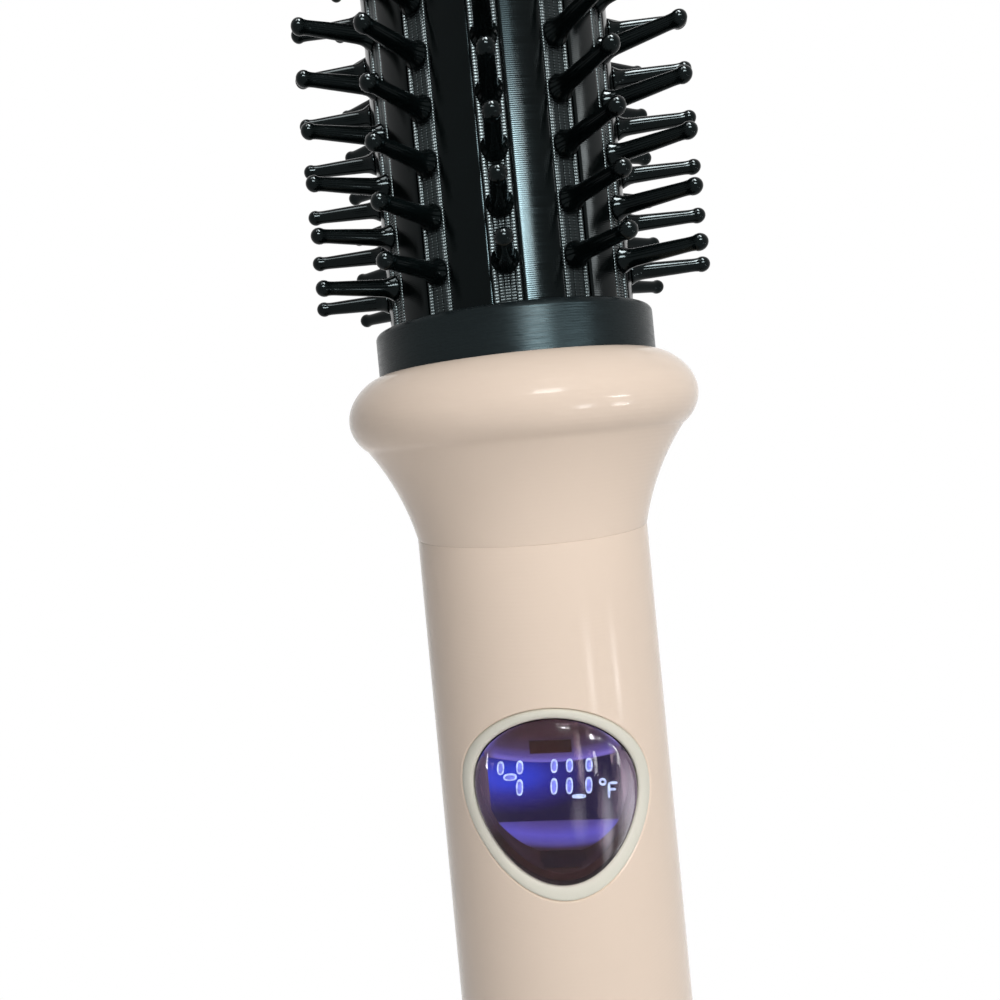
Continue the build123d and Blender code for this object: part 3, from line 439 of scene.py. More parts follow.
def make_shell(name, node, sign, holes):
    """Half of the handle's tube, with softened edges round its seam, its ends and its holes."""
    edge, neck_edge, rows, columns = 0.14, 0.03, int((NECK_Z - SHELL_Z) / 2.0), 104
    seam = pi / 2 * HANDLE_R
    inner = seam - edge
    low, high = SHELL_Z + edge, NECK_Z - neck_edge
    across = evenly(-inner, inner, columns)
    up = evenly(low, high, rows)
    border = ([(s, low) for s in across[:-1]] + [(inner, z) for z in up[:-1]]
              + [(s, high) for s in across[:0:-1]] + [(-inner, z) for z in up[:0:-1]])
    true_border = [(copysign(seam, s) if abs(s) > inner - 1e-6 else s,
                    SHELL_Z if z < low + 1e-6 else NECK_Z if z > high - 1e-6 else z)
                   for s, z in border]
    loops = [border] + [unrolled(make(edge)) for make in holes]
    true_loops = [true_border] + [unrolled(make(0.0)) for make in holes]
    cuts = [unrolled(make(0.9)) for make in holes]

    flat, edges = [], []
    for loop in loops:
        base = len(flat)
        flat += loop
        edges += [(base + i, base + (i + 1) % len(loop)) for i in range(len(loop))]
    flat += [(s, z) for s in across[1:-1] for z in up[1:-1]
             if not any(inside(s, z, cut) for cut in cuts)]
    found, _, triangles, origins, _, _ = delaunay_2d_cdt(flat, edges, [], 0, 1e-6)
    place = {old: new for new, olds in enumerate(origins) for old in olds}
    skin = []
    for face in triangles:
        s, z = (sum(found[i][axis] for i in face) / 3 for axis in (0, 1))
        if not any(inside(s, z, loop) for loop in loops[1:]):
            skin.append(list(face))

    def at(s, z, radius):
        angle = s / HANDLE_R
        return (sign * radius * sin(angle), -sign * radius * cos(angle), z)

    count = len(found)
    points = [at(s, z, radius) for radius in (HANDLE_R, SHELL_BORE) for s, z in found]
    faces = skin + [[count + i for i in face[::-1]] for face in skin]
    base = 0
    for loop, true_loop in zip(loops, true_loops):
        ids = [place[base + i] for i in range(len(loop))]
        base += len(loop)
        middle = len(points)
        points += [at(s, z, HANDLE_R - (neck_edge if z > high else edge)) for s, z in true_loop]
        for i in range(len(ids)):
            n = (i + 1) % len(ids)
            faces.append([ids[i], middle + i, middle + n, ids[n]])
            faces.append([middle + i, count + ids[i], count + ids[n], middle + n])
    mesh = new_mesh(name, points, faces, 50)
    normals = []
    for polygon in mesh.polygons:
        facing = (1, -1, 0)[min(polygon.index // len(skin), 2)]
        for vertex in polygon.vertices:
            x, y, _ = points[vertex]
            share = facing / hypot(x, y)
            normals.append((share * x, share * y, 0.0))
    mesh.normals_split_custom_set(normals)
    finish_piece(name, mesh, "handle_plastic", hides=(node,))


make_shell("front_shell", "handle_front_shell", 1.0, [
    lambda grow: window_outline(11.15 + grow, 10.95 + grow, BEZEL_Z),
    *[lambda grow, z=z, r=r: circle(r + 0.3 + grow, z) for _, z, r in BUTTONS],
])
make_shell("rear_shell", "handle_rear_shell", -1.0, [
    lambda grow, z=z: circle(2.7 + grow, z, 48) for z in SHELL_SCREWS
])


# Turned pieces

def place_turned(name, profile, slot, hides, segments=192, ripple=None, **more):
    """A piece turned about the brush's axis, from a closed profile of (radius, z)."""
    make_piece(name, *revolve(profile, segments, ripple), slot, hides=hides, **more)


flare = arc_through((HANDLE_R, NECK_Z), (17.2, NECK_Z + 6.35), (20.6, NECK_Z + 12.25), 24)
bead = [(r, NECK_Z + z) for r, z in bead_profile()]
flare = [(HANDLE_R - 0.06, NECK_Z), (HANDLE_R - 0.01, NECK_Z + 0.03)] + flare[1:]
place_turned("flared_neck", flare[:-1] + bead + [
    (18.3, SOCKET_Z), (15.6, SOCKET_Z), (15.6, SOCKET_Z - 2.0), (11.2, NECK_Z + 1.5),
    (11.2, NECK_Z - 7.0), (13.0, NECK_Z - 7.0), (13.0, NECK_Z - 3.9), (12.4, NECK_Z - 3.9),
    (12.4, NECK_Z - 2.5), (13.0, NECK_Z - 2.5), (13.0, NECK_Z),
], "handle_plastic", ("neck_flare",), segments=256, sharp=40.0)

place_turned("dark_collar", rounded([
    (18.15, COLLAR_Z, 0), (18.15, COLLAR_TOP_Z, 0.8), (16.1, COLLAR_TOP_Z, 0.12),
    (16.1, COLLAR_Z, 0),
], 8), "collar_plastic", ("barrel_collar",), segments=256)

place_turned("tail_cap_shell", rounded([
    (6.08, TAIL_Z, 0.25), (9.1, TAIL_Z, 0), (HANDLE_R, TAIL_Z, 6.0),
    (HANDLE_R, SHELL_Z - 0.02, 0.12), (13.0, SHELL_Z - 0.02, 0), (13.0, 14.5, 0),
    (12.4, 14.5, 0), (12.4, 15.9, 0), (13.0, 15.9, 0), (13.0, 18.0, 0), (11.9, 18.0, 0),
    (11.9, 9.7, 0), (8.5, 9.7, 0), (8.5, 7.6, 0), (6.08, 7.6, 0),
], 14), "handle_plastic", ("tail_cap",))

gland_ribs = []
for ridge in range(3):
    foot = 0.9 + 1.3 * ridge
    gland_ribs += [(6.0, foot, 0), (5.7, foot + 0.2, 0), (5.7, foot + 0.6, 0), (6.0, foot + 0.8, 0)]
place_turned("cord_gland", rounded([
    (3.3, 0.0, 0.3), (6.0, 0.0, 0.45), *gland_ribs, (6.0, 7.6, 0), (8.2, 7.6, 0.1),
    (8.2, 9.6, 0.1), (4.4, 9.6, 0), (4.4, 26.0, 0.2), (1.8, 26.0, 0.2), (1.8, 12.0, 0),
    (3.3, 12.0, 0),
], 5), "gland_plastic", ("swivel_gland",), body="cord_swivel")

place_turned("heat_ring", rounded([
    (9.6, BARREL_TOP_Z, 0), (BARREL_R, BARREL_TOP_Z, 0.2), (BARREL_R, TIP_Z, 0.2),
    (9.6, TIP_Z, 0),
], 4), "heatproof_plastic", ("tip_insulator",))


def flutes(radius, z, angle):
    """Shallow finger grooves round the straight part of the cool tip."""
    along = (z - TIP_Z - 1.0) / 5.6
    if radius < 14.0 or not 0.0 < along < 1.0:
        return 0.0
    groove = max(0.0, cos(32 * angle)) ** 2
    return 0.34 * groove * sin(pi * along) ** 0.5


nose = [(16.4, TIP_Z + 0.9 + 0.475 * k) for k in range(13)]
end_arc = arc_through((16.4, TIP_Z + 6.6), (15.35, TIP_Z + 12.9), (12.4, TIP_END_Z - 0.35), 24)
place_turned("cool_end", [
    (9.4, TIP_Z), (15.95, TIP_Z), (16.28, TIP_Z + 0.12), (16.4, TIP_Z + 0.45), *nose,
    *end_arc[1:], (12.15, TIP_END_Z - 0.1), (11.8, TIP_END_Z), (5.0, TIP_END_Z),
    (4.68, TIP_END_Z - 0.1), (4.6, TIP_END_Z - 0.4), (4.6, TIP_Z + 7.5), (1.7, TIP_Z + 7.5),
    (1.7, BARREL_TOP_Z - 12.0), (9.4, BARREL_TOP_Z - 12.0),
], "tip_plastic", ("cool_tip",), segments=320, sharp=40.0, ripple=flutes)

place_turned("tip_plug", rounded([
    (0.0, TIP_END_Z - 2.0, 0), (4.5, TIP_END_Z - 2.0, 0), (4.5, TIP_END_Z - 0.05, 0.35),
    (2.6, TIP_END_Z - 0.05, 0.1), (2.2, TIP_END_Z - 0.35, 0.3), (0.0, TIP_END_Z - 0.4, 0),
], 5), "tip_plastic", ("tip_cover",), segments=96)


# Fluted barrel

def rim(x):
    """Height of the barrel's round over its middle, beside a slot."""
    return sqrt(BARREL_R ** 2 - x ** 2)


def make_barrel():
    """The barrel's tube with its twelve slots."""
    lip, mouth, edge, hollow = 1.06, 1.76, 1.80, 1.79
    lip_foot, lip_top, hollow_foot, bore_radius = 13.95, 14.9, 12.45, 9.5
    right = [(hollow, hollow_foot), (hollow, lip_foot - 0.01), (lip, lip_foot), (lip, lip_top),
             (mouth, lip_top), (mouth, rim(mouth) - 0.14), (edge, rim(edge) - 0.04)]
    section = [(-x, y) for x, y in right[::-1]] + right
    edge_angle = atan2(edge, rim(edge)) + 0.006
    sector, steps = 2 * pi / ROWS, 14
    outline = []
    for row in range(ROWS):
        turn = row * sector
        places = [(turn + atan2(x, y), hypot(x, y)) for x, y in section]
        places += [(turn + edge_angle + (sector - 2 * edge_angle) * k / (steps - 1), BARREL_R)
                   for k in range(steps)]
        outline += [(radius * sin(a), -radius * cos(a)) for a, radius in places]
    bore = circle(bore_radius, 0.0, 96)
    points, faces = join(*[prism(loop, BARREL_Z, BARREL_TOP_Z, "open") for loop in (outline, bore)])
    count, inner = len(outline), len(bore)
    flat = [[(x, y, 0.0) for x, y in loop] for loop in (outline, bore)]
    for corners in tessellate_polygon(flat):
        faces.append([i if i < count else count + i for i in corners])
        faces.append([count + i if i < count else count + inner + i for i in corners])
    make_piece("fluted_barrel", points, faces, "coated_barrel", sharp=28.0, hides=("barrel_core",))


def round_the_barrel(points, faces):
    """The same part at each of the twelve rows."""
    return join(*[(turn_z(points, 360 / ROWS * row), faces) for row in range(ROWS)])


def make_ribs():
    """The thin rounded ribs beside each slot."""
    half, foot, middle = 0.29, 14.7, 1.29
    top = rim(middle + half) - 0.02
    section = [(middle - half, -foot)]
    section += [(middle + x, 0.04 * (x / half) ** 2 + 0.05 * (x / half) ** 8 - top)
                for x in evenly(-half, half, 8)]
    section.append((middle + half, -foot))
    pair = [prism([(side * x, y) for x, y in section], BARREL_Z, BARREL_TOP_Z) for side in (1, -1)]
    make_piece("barrel_ribs", *round_the_barrel(*join(*pair)), "coated_barrel", sharp=50.0,
               materials=(rib_look,))


make_barrel()
make_ribs()


# Bristle strips

def pin_profile():
    """A pin's side as (radius, distance from the brush's axis), from its root to its round end."""
    side = [(0.0, 15.2), (0.95, 15.2), (0.95, 16.06), (1.42, 16.07), (1.60, 16.14), (1.62, 16.24),
            (1.56, 16.42), (1.42, 16.68), (1.26, 16.98), (1.14, 17.35), (1.07, 17.9),
            (1.03, 19.0), (0.98, 20.4), (0.93, 21.9), (0.88, 23.2), (0.85, 24.0), (0.85, 24.4)]
    ball, centre = 1.01, 25.28
    start = asin(0.88 / ball)
    for angle in evenly(start, pi, 8):
        side.append((max(0.0, ball * sin(angle)), centre - ball * cos(angle)))
    side[-1] = (0.0, centre + ball)
    return side


def make_pin(z):
    """One pin of the front row at a height."""
    points, faces = revolve(pin_profile(), 22)
    return [(-y, -distance, z + x) for x, y, distance in points], faces


def make_strip_bars():
    """The moulded bars under the rows of pins, with three toothed lands along the top of each."""
    top, dip = 15.78, 15.62
    right = [(0.3, top, 0.05), (0.3, dip, 0), (0.38, dip, 0), (0.38, top - 0.02, 0.05),
             (0.96, top - 0.05, 0.08), (0.96, 13.85, 0), (1.7, 13.85, 0.1), (1.7, 12.55, 0.1)]
    section = rounded([(-x, -y, r) for x, y, r in right[::-1]] + [(x, -y, r) for x, y, r in right], 3)
    lands = [int(max(a[1], b[1]) < -dip - 0.02) for a, b in zip(section, section[1:] + section[:1])]
    bar = prism(section, BARREL_Z + 1.3, BARREL_TOP_Z)
    make_piece("strip_bars", *round_the_barrel(*bar), "bristle_nylon", sharp=40.0,
               kinds=(lands + [0, 0]) * ROWS, materials=(looks["bristle_nylon"], strip_look))


make_strip_bars()
pin_points, pin_faces = join(*[make_pin(FIRST_PIN_Z + n * PIN_PITCH) for n in range(PIN_COUNT)])
pin_rows = [make_piece(f"pin_row_{row + 1:02d}", turn_z(pin_points, 360 / ROWS * row), pin_faces,
                       "bristle_nylon", sharp=40.0, hides=(f"bristle_strip_{row + 1:02d}",))
            for row in range(ROWS)]


# Display window

def on_tube(x, radius):
    """Depth of a tube about the brush's axis, held short of the tube's side."""
    return -sqrt(max(radius ** 2 - x ** 2, 0.8))


def make_bezel():
    """The cream rim: a soft ring between the handle's hole and the lens, with its flange behind."""
    lens = window_outline(9.45, 9.45, DISPLAY_Z)
    outer = window_outline(11.05, 10.85, BEZEL_Z)
    ledge = window_outline(8.6, 8.6, DISPLAY_Z)
    flange = window_outline(12.05, 11.85, BEZEL_Z)
    rings = []
    for share, radius in ((1.0, 13.2), (1.0, 14.9), (0.985, 15.03), (0.95, 15.13), (0.88, 15.19),
                          (0.75, 15.22), (0.55, 15.2), (0.35, 15.12), (0.2, 15.0), (0.09, 14.86),
                          (0.03, 14.7), (0.0, 14.5), (0.0, 13.36)):
        rings.append([(lx + share * (ox - lx), on_tube(lx + share * (ox - lx), radius),
                       lz + share * (oz - lz)) for (lx, lz), (ox, oz) in zip(lens, outer)])
    wall = len(rings) - 2
    for outline, radius in ((ledge, 13.35), (ledge, 12.1), (flange, 12.1), (flange, 13.0),
                            (outer, 13.0)):
        rings.append([(x, on_tube(x, radius), z) for x, z in outline])
    # The seat wall gets the painted shade, and the flange behind it gets the well's painted glow.
    kinds = [1 if i == wall else 2 if wall < i < len(rings) - 3 else 0
             for i in range(len(rings)) for _ in lens]
    make_piece("window_rim", *loft(rings), "bezel_plastic", sharp=45.0, kinds=kinds,
               hides=("display_bezel",), materials=(looks["bezel_plastic"], seat_shade_look, well))


def dome_y(x, z, sink):
    """Depth of the lens's outer face, or of a face that lies sink below it."""
    arc = DOME_ARC - sink
    radius = DOME_R - sink - (arc - sqrt(arc ** 2 - (z - DISPLAY_Z) ** 2))
    return -DOME_DEPTH - sqrt(radius ** 2 - x ** 2)


def make_lens():
    """The smoky domed lens, of even thickness, with a rounded edge."""
    soft, steps, edge_steps = 0.42, 24, 6
    flat = LENS_SIZE - soft
    angles = evenly(0.0, pi / 2, edge_steps)[1:]
    front = [(flat * (k / steps) ** 0.8, 0.0) for k in range(1, steps + 1)]
    front += [(flat + soft * sin(a), soft * (1 - cos(a))) for a in angles]

    def layer(size, sink, back=0.0):
        return [(x, dome_y(x, z, sink) + back, z) for x, z in window_outline(size, size, DISPLAY_Z)]

    rings = [[(0.0, dome_y(0.0, DISPLAY_Z, 0.0), DISPLAY_Z)]]
    rings += [layer(size, 0.0, back) for size, back in front]
    rings += [layer(LENS_SIZE * k / steps, LENS_THICK) for k in range(steps, 0, -1)]
    rings.append([(0.0, dome_y(0.0, DISPLAY_Z, LENS_THICK), DISPLAY_Z)])
    points, faces = loft(rings)
    count, edge = len(rings[1]), len(front)
    # The rounded edge gets the seat's painted shade.
    kinds = [int(edge * count <= i < (edge + 1) * count) for i in range(len(faces))]
    make_piece("domed_lens", points, faces, "smoked_lens", sharp=60.0, kinds=kinds,
               hides=("display_lens",), materials=(looks["smoked_lens"], seat_shade_look))


def over(tree, value, low, high):
    """A smooth rise from 0 to 1 as a value goes from low to high millimetres."""
    return scaled(tree, value, low * MM, high * MM, kind="SMOOTHSTEP")


def painted_side_light(tree, across):
    """Painted grey-violet light at the window's sides, lighter on the right."""
    return ramp(tree, scaled(tree, across, -9.0 * MM, 9.0 * MM), (
        (0.0, (0.085, 0.07, 0.13)), (0.7, (0.10, 0.09, 0.17)), (1.0, (0.20, 0.17, 0.25))))


def blend(tree, share, first, second):
    """A mix of two colours by a share from 0 to 1."""
    return add(tree, "Mix", {"Factor": share, "A": first, "B": second}, "Result",
               data_type="RGBA")


def dull_base(name, rough, specular, low, high):
    """A dull dark material, mottled between two colours, and its parts."""
    mat = new_material(name)
    tree, shader, place = parts(mat)
    wire(tree, shader, {
        "Roughness": rough,
        "Specular IOR Level": specular,
        "Base Color": ramp(tree, noise(tree, place, 500.0), ((0.3, low), (0.7, high))),
    })
    return mat, tree, shader, place


def painted_glow_tray_look():
    """Painted violet light from the display's face: an emission in bands that fade over the tray behind it.
    """
    mat, tree, shader, place = dull_base("tray_painted_violet_glow", 0.55, 0.1, (0.028, 0.020, 0.024),
                                         (0.045, 0.033, 0.038))
    x, _, z = add(tree, "SeparateXYZ", {"Vector": place}).node.outputs
    bow = reckon(tree, "MULTIPLY_ADD", reckon(tree, "MULTIPLY", x, x), -20.0, z)
    low, high = -11.0, 8.0
    height = scaled(tree, bow, (DISPLAY_Z + low) * MM, (DISPLAY_Z + high) * MM)
    # Painted light: the violet and brown bands are emission standing in for the display's light on the
    # tray.
    bands = ramp(tree, height, [((z - low) / (high - low), colour) for z, colour in (
        (-9.6, (0.024, 0.009, 0.006)), (-8.5, (0.036, 0.024, 0.044)), (-7.9, (0.085, 0.095, 0.50)),
        (-6.9, (0.11, 0.125, 0.80)), (-5.8, (0.075, 0.08, 0.46)), (-5.0, (0.05, 0.05, 0.28)),
        (1.7, (0.13, 0.13, 0.60)), (2.1, (0.19, 0.20, 0.85)), (2.6, (0.10, 0.10, 0.46)),
        (3.6, (0.045, 0.038, 0.11)), (5.2, (0.022, 0.012, 0.015)))])
    aside = over(tree, reckon(tree, "ABSOLUTE", x), 6.6, 7.8)
    wire(tree, shader, {"Emission Color": blend(tree, aside, bands, painted_side_light(tree, x)),
                        "Emission Strength": 1.1})
    return mat


def painted_glow_well_look():
    """The wall round the tray, with painted light: a glow at its sides, dim and brown above and below."""
    mat, tree, shader, place = dull_base("window_well_painted_glow", 0.55, 0.1, (0.025, 0.016, 0.018),
                                         (0.04, 0.026, 0.028))
    x, _, z = add(tree, "SeparateXYZ", {"Vector": place}).node.outputs
    height = reckon(tree, "SUBTRACT", z, (DISPLAY_Z + 0.5) * MM)
    far = over(tree, reckon(tree, "ABSOLUTE", height), 2.5, 6.8)
    # Painted light: the side glow fades to a dim brown emission away from the display's middle.
    lit = blend(tree, far, painted_side_light(tree, x), (0.018, 0.007, 0.005, 1))
    wire(tree, shader, {"Emission Color": lit, "Emission Strength": 1.0})
    return mat


def painted_glow_face_look():
    """The dark face of the display, with a painted deep blue glow round the digits on its left."""
    mat, tree, shader, place = dull_base("display_face_painted_blue_glow", 0.45, 0.05, (0.002, 0.002, 0.004),
                                         (0.004, 0.003, 0.007))
    middle = (-5.4 * MM, -MODULE_Y * MM, (DISPLAY_Z + 0.5) * MM)
    round_it = add(tree, "Mapping", {"Vector": place, "Location": middle,
                                     "Scale": (11.0 * MM, 4.0 * MM, 4.6 * MM)},
                   vector_type="TEXTURE")
    near = add(tree, "TexGradient", {"Vector": round_it}, "Color", gradient_type="SPHERICAL")
    # Painted glow: emission that is brightest round the digits and fades away from them.
    lit = ramp(tree, near, ((0.0, (0.008, 0.005, 0.055)), (0.2, (0.016, 0.012, 0.15)),
                            (0.5, (0.024, 0.030, 0.42)), (0.8, (0.03, 0.075, 0.95))))
    wire(tree, shader, {"Emission Color": lit, "Emission Strength": 1.1})
    return mat


def block(outline, front, back):
    """A block whose outline of (x, height over the display's middle) is drawn out in depth."""
    return loft([[(x, y, DISPLAY_Z + z) for x, z in outline] for y in (front, back)], "capped")


def make_module():
    """The display block: a flat dark face, and behind its edges the body that stands on the board."""
    half, front, back, columns = 7.8, -MODULE_Y, -6.6, 24
    face = [(-half, -5.0), (half, -5.0)] + [(x, 2.0 + 0.0155 * x * x) for x in evenly(half, -half, columns)]
    body = [(-half, -6.0), (half, -6.0), (half, 6.0), (-half, 6.0)]
    points, faces = join(block(face, front, front + 0.13), block(body, front + 0.5, back))
    make_piece("display_face", points, faces, "display_block", sharp=30.0,
               hides=("display_module",), materials=(painted_glow_face_look(),))


def make_tray():
    """The cup round the display's face: a flat floor, and a wall up to the back of the rim."""
    def brim(size):
        return [(x, min(on_tube(x, 12.05), -9.1), z) for x, z in window_outline(size, size, DISPLAY_Z)]

    rings = [brim(8.95)]
    for size, y, drop in ((8.95, -9.02, 0.0), (8.6, -9.06, 0.0), (2.6, -9.06, 1.5)):
        rings.append([(x, y, z) for x, z in window_outline(size, size, DISPLAY_Z - drop)])
    rings += [[(x, y + 0.3, z) for x, y, z in ring] for ring in rings[:0:-1]]
    rings += [[(x, -8.7, z) for x, _, z in brim(9.25)], brim(9.25)]
    points, faces = loft(rings)
    count = len(rings[0])
    # The floor's front gets the tray's painted violet light, and the rest gets the well's painted glow.
    kinds = [int(count <= i < 3 * count) for i in range(len(faces))]
    make_piece("display_tray", points, faces, "display_block", sharp=50.0, kinds=kinds,
               materials=(well, painted_glow_tray_look()))


def make_tapes():
    """Two brown strips of tape over the wires above and below the display."""
    strips = []
    for x1, x2, z1, z2, y1, y2 in ((-2.6, 2.4, 3.15, 4.7, -9.2, -9.2),
                                   (-2.5, 2.8, -8.55, -8.45, -9.3, -12.9)):
        drop = 0.1 if y1 != y2 else 0.0
        face = [(x1, y1, DISPLAY_Z + z1), (x2, y1, DISPLAY_Z + z1), (x2, y2, DISPLAY_Z + z2),
                (x1, y2, DISPLAY_Z + z2)]
        strips.append(loft([face, [(x, y + 0.1, z - drop) for x, y, z in face]], "capped"))
    make_piece("display_tapes", *join(*strips), "display_block", materials=(tape_look,))


def stroke(x1, z1, x2, z2, width, line=0.0):
    """A plump bar between two places on the display's face, with a darker core inside its line."""
    front, lean, count = -MODULE_Y - 0.15, 0.10, 16
    first, last = np.array((x1, z1)), np.array((x2, z2))
    length = np.linalg.norm(last - first)
    along = (last - first) / length
    across = np.array((-along[1], along[0]))

    def leaf(inset, y):
        ring = []
        for k in range(count):
            u, v = cos(2 * pi * k / count), sin(2 * pi * k / count)
            reach = (length / 2 - 1.3 * inset) * copysign(abs(u) ** 0.85, u)
            side = (width / 2 - inset) * copysign(abs(v) ** 0.8, v)
            x, z = (first + last) / 2 + along * reach + across * side
            ring.append((x + lean * (z - 0.27), y, DISPLAY_Z + z))
        return ring

    rings = [leaf(0.0, -MODULE_Y), leaf(0.0, front)] + ([leaf(line, front)] if line else [])
    kinds = [0] * (count * (len(rings) - 1)) + [0, int(line > 0)]
    return loft(rings, "capped"), kinds


def make_digits():
    """The lit strokes of the reading, with its degree ring and its unit."""
    half, top, side, wide, gap = 2.6, 1.95, 1.14, 0.84, 0.33
    strokes = []
    for place, lit in enumerate(("abdf", "bd", "abcde")):
        x, z = -5.25 + 4.1 * place, 0.47
        left, right, foot = x - side, x + side, z - half
        ways = {
            "a": (left, z + top, left, z + gap, wide, 0.16),
            "b": (right, z + top, right, z + gap, wide, 0.16),
            "c": (left, z - gap, left, foot + gap, wide, 0.16),
            "d": (right, z - gap, right, foot + gap, wide, 0.16),
            "e": (left + gap, foot, right - gap, foot, 0.46),
            "f": (left + gap, z, right - gap, z, wide, 0.16),
        }
        strokes += [stroke(*ways[name]) for name in lit]
    strokes += [stroke(6.42, -0.60, 6.42, -2.4, 0.30), stroke(6.46, -0.66, 7.36, -0.62, 0.26),
                stroke(6.5, -1.42, 7.2, -1.40, 0.24)]
    degree = loft([[(5.62 + x, y, DISPLAY_Z - 0.5 + z) for x, z in circle(radius, 0.0, 24)]
                   for radius, y in ((0.44, -MODULE_Y), (0.42, -MODULE_Y - 0.15),
                                     (0.22, -MODULE_Y - 0.15), (0.22, -MODULE_Y))])
    points, faces = join(*[part for part, _ in strokes], degree)
    kinds = [kind for _, row in strokes for kind in row] + [0] * len(degree[1])
    make_piece("lit_reading", points, faces, "lit_digits", sharp=20.0, kinds=kinds,
               hides=("display_digits",), materials=(looks["lit_digits"], digit_core_look))


well = painted_glow_well_look()
make_bezel()
make_lens()
make_module()
make_tray()
make_tapes()
make_digits()


# Buttons and plugs

CROWN = 15.7


def capped_disc(radius, crown, edge, z, base_y, flange=None, side=1.0):
    """A round cap whose top follows a cylinder about the brush's axis, with a softened edge."""
    def crowned(r, sink=0.0):
        return [(x, side * (on_tube(x, crown) + sink), up) for x, up in circle(r, z)]

    def flat(r, y):
        return [(x, side * y, up) for x, up in circle(r, z)]

    rings = [[(0.0, side * on_tube(0.0, crown), z)]]
    rings += [crowned((radius - edge) * share) for share in (0.15, 0.35, 0.55, 0.75, 0.9, 1.0)]
    angles = evenly(0.0, pi / 2, 5)[1:]
    rings += [crowned(radius - edge + edge * sin(a), edge * (1 - cos(a))) for a in angles]
    if flange:
        wide, back = radius + flange[0], flange[1]
        rings += [flat(radius, back), flat(wide, back), flat(wide, base_y)]
    else:
        rings.append(flat(radius, base_y))
    return loft([*rings, [(0.0, side * base_y, z)]])


def printed(rows):
    """A thin mark on the crown of a button, from rows of its two edges as (x, z)."""
    return loft([[(x, on_tube(x, CROWN + lift), z) for (x, z), lift in
                  zip((*row, *row[::-1]), (0.03, 0.03, -0.1, -0.1))] for row in rows], "capped")


def mark_bar(x1, z1, x2, z2, steps=8):
    """A straight mark between two corners."""
    return printed([((x, z1), (x, z2)) for x in evenly(x1, x2, steps)])


def mark_arc(inner, outer, z, start, turn, steps=40):
    """A curved mark about a height, from a start angle through a turn in degrees."""
    angles = [radians(a) for a in evenly(start, start + turn, steps)]
    return printed([[(r * sin(a), z + r * cos(a)) for r in (inner, outer)] for a in angles])


marks = {
    "power": lambda z: join(mark_arc(1.34, 1.66, z, 35, 290), mark_bar(-0.17, z + 0.35, 0.17, z + 2.0)),
    "plus": lambda z: join(mark_bar(-1.2, z - 0.18, 1.2, z + 0.18),
                           mark_bar(-0.18, z + 0.2, 0.18, z + 1.2),
                           mark_bar(-0.18, z - 1.2, 0.18, z - 0.2)),
    "minus": lambda z: mark_bar(-1.2, z - 0.18, 1.2, z + 0.18),
}
for name, z, radius in BUTTONS:
    body = f"{name}_button"
    make_piece(f"{name}_cap", *capped_disc(radius, CROWN, 0.4, z, -11.2, (0.8, -12.0)),
               "button_plastic", sharp=40.0, body=body, hides=(body,))
    make_piece(f"{name}_mark", *marks[name](z), "collar_plastic", body=body, materials=(mark_look,))
plugs = [capped_disc(2.6, HANDLE_R, 0.15, z, -12.5, side=-1.0) for z in SHELL_SCREWS]
make_piece("screw_hole_plugs", *join(*plugs), "plug_plastic", sharp=40.0, hides=("screw_plugs",))


# Carried-over pieces

slot_of = {row["node"]: row["material_slot"] for row in frame["record"]["subparts"]}
for name, node in frame["nodes"].items():
    if name in slot_of and node.type == "MESH":
        for place in node.material_slots:
            place.material = looks[slot_of[name]]
        if not node.material_slots:
            node.data.materials.append(looks[slot_of[name]])


# Floor, world and lights

def white_share(tree):
    """One where a ray comes from the camera, a glossy face or a clear one."""
    rays = add(tree, "LightPath", {}).node.outputs
    seen = reckon(tree, "MAXIMUM", rays["Is Camera Ray"], rays["Is Glossy Ray"])
    return reckon(tree, "MAXIMUM", seen, rays["Is Transmission Ray"])


def mix_surface(tree, output, share, dim, white):
    """Joins two shaders by a share and shows them."""
    mixed = add(tree, "MixShader", {"Fac": share, 1: dim, 2: white})
    wire(tree, tree.nodes[output], {"Surface": mixed})


def make_world():
    """Even soft light that is seen as white."""
    world = bpy.data.worlds.new("studio")
    scene.world = world
    world.use_nodes = True
    tree = world.node_tree
    fill = tree.nodes["Background"]
    wire(tree, fill, {"Color": (0.93, 0.97, 1.0, 1), "Strength": 0.05})
    white = add(tree, "Background", {"Color": (1, 1, 1, 1), "Strength": 1.0})
    mix_surface(tree, "World Output", white_share(tree), fill.outputs["Background"], white)


def make_floor():
    """A plain pale floor that turns into the white background away from the brush."""
    half, cells = 1500.0, 24
    lines = evenly(-half, half, cells)
    points = [(x * MM, y * MM, -0.05 * MM) for y in lines for x in lines]
    corners = [j * (cells + 1) + i for j in range(cells) for i in range(cells)]
    faces = [[c, c + 1, c + cells + 2, c + cells + 1] for c in corners]
    mesh = bpy.data.meshes.new("pale_floor")
    mesh.from_pydata(points, [], faces)
    floor = put("pale_floor", mesh)
    mat = surface("pale_floor", (0.93, 0.93, 0.93), 0.7, spread=0.01, cloud=8.0)
    tree, shader, place = parts(mat)
    away = add(tree, "VectorMath", {0: place}, "Value", operation="LENGTH")
    fade = scaled(tree, away, 0.05, 0.085, kind="SMOOTHSTEP")
    share = reckon(tree, "MULTIPLY", fade, white_share(tree))
    white = add(tree, "Emission", {"Strength": 1.0})
    mix_surface(tree, "Material Output", share, shader.outputs["BSDF"], white)
    mesh.materials.append(mat)


make_world()
make_floor()

AIM = np.array((0.0, 0.0, 130.0))
WHITE = (1.0, 1.0, 1.0)
WARM = (1.0, 0.985, 0.96)
COLD = (0.74, 0.93, 1.0)


def stand(name, data, place, right, up, back):
    """Puts a lamp or the camera at a place in millimetres, turned by its own axes."""
    thing = put(name, data)
    thing.matrix_world = Matrix([*zip(right, up, back, np.array(place) * MM), (0, 0, 0, 1)])
    return thing


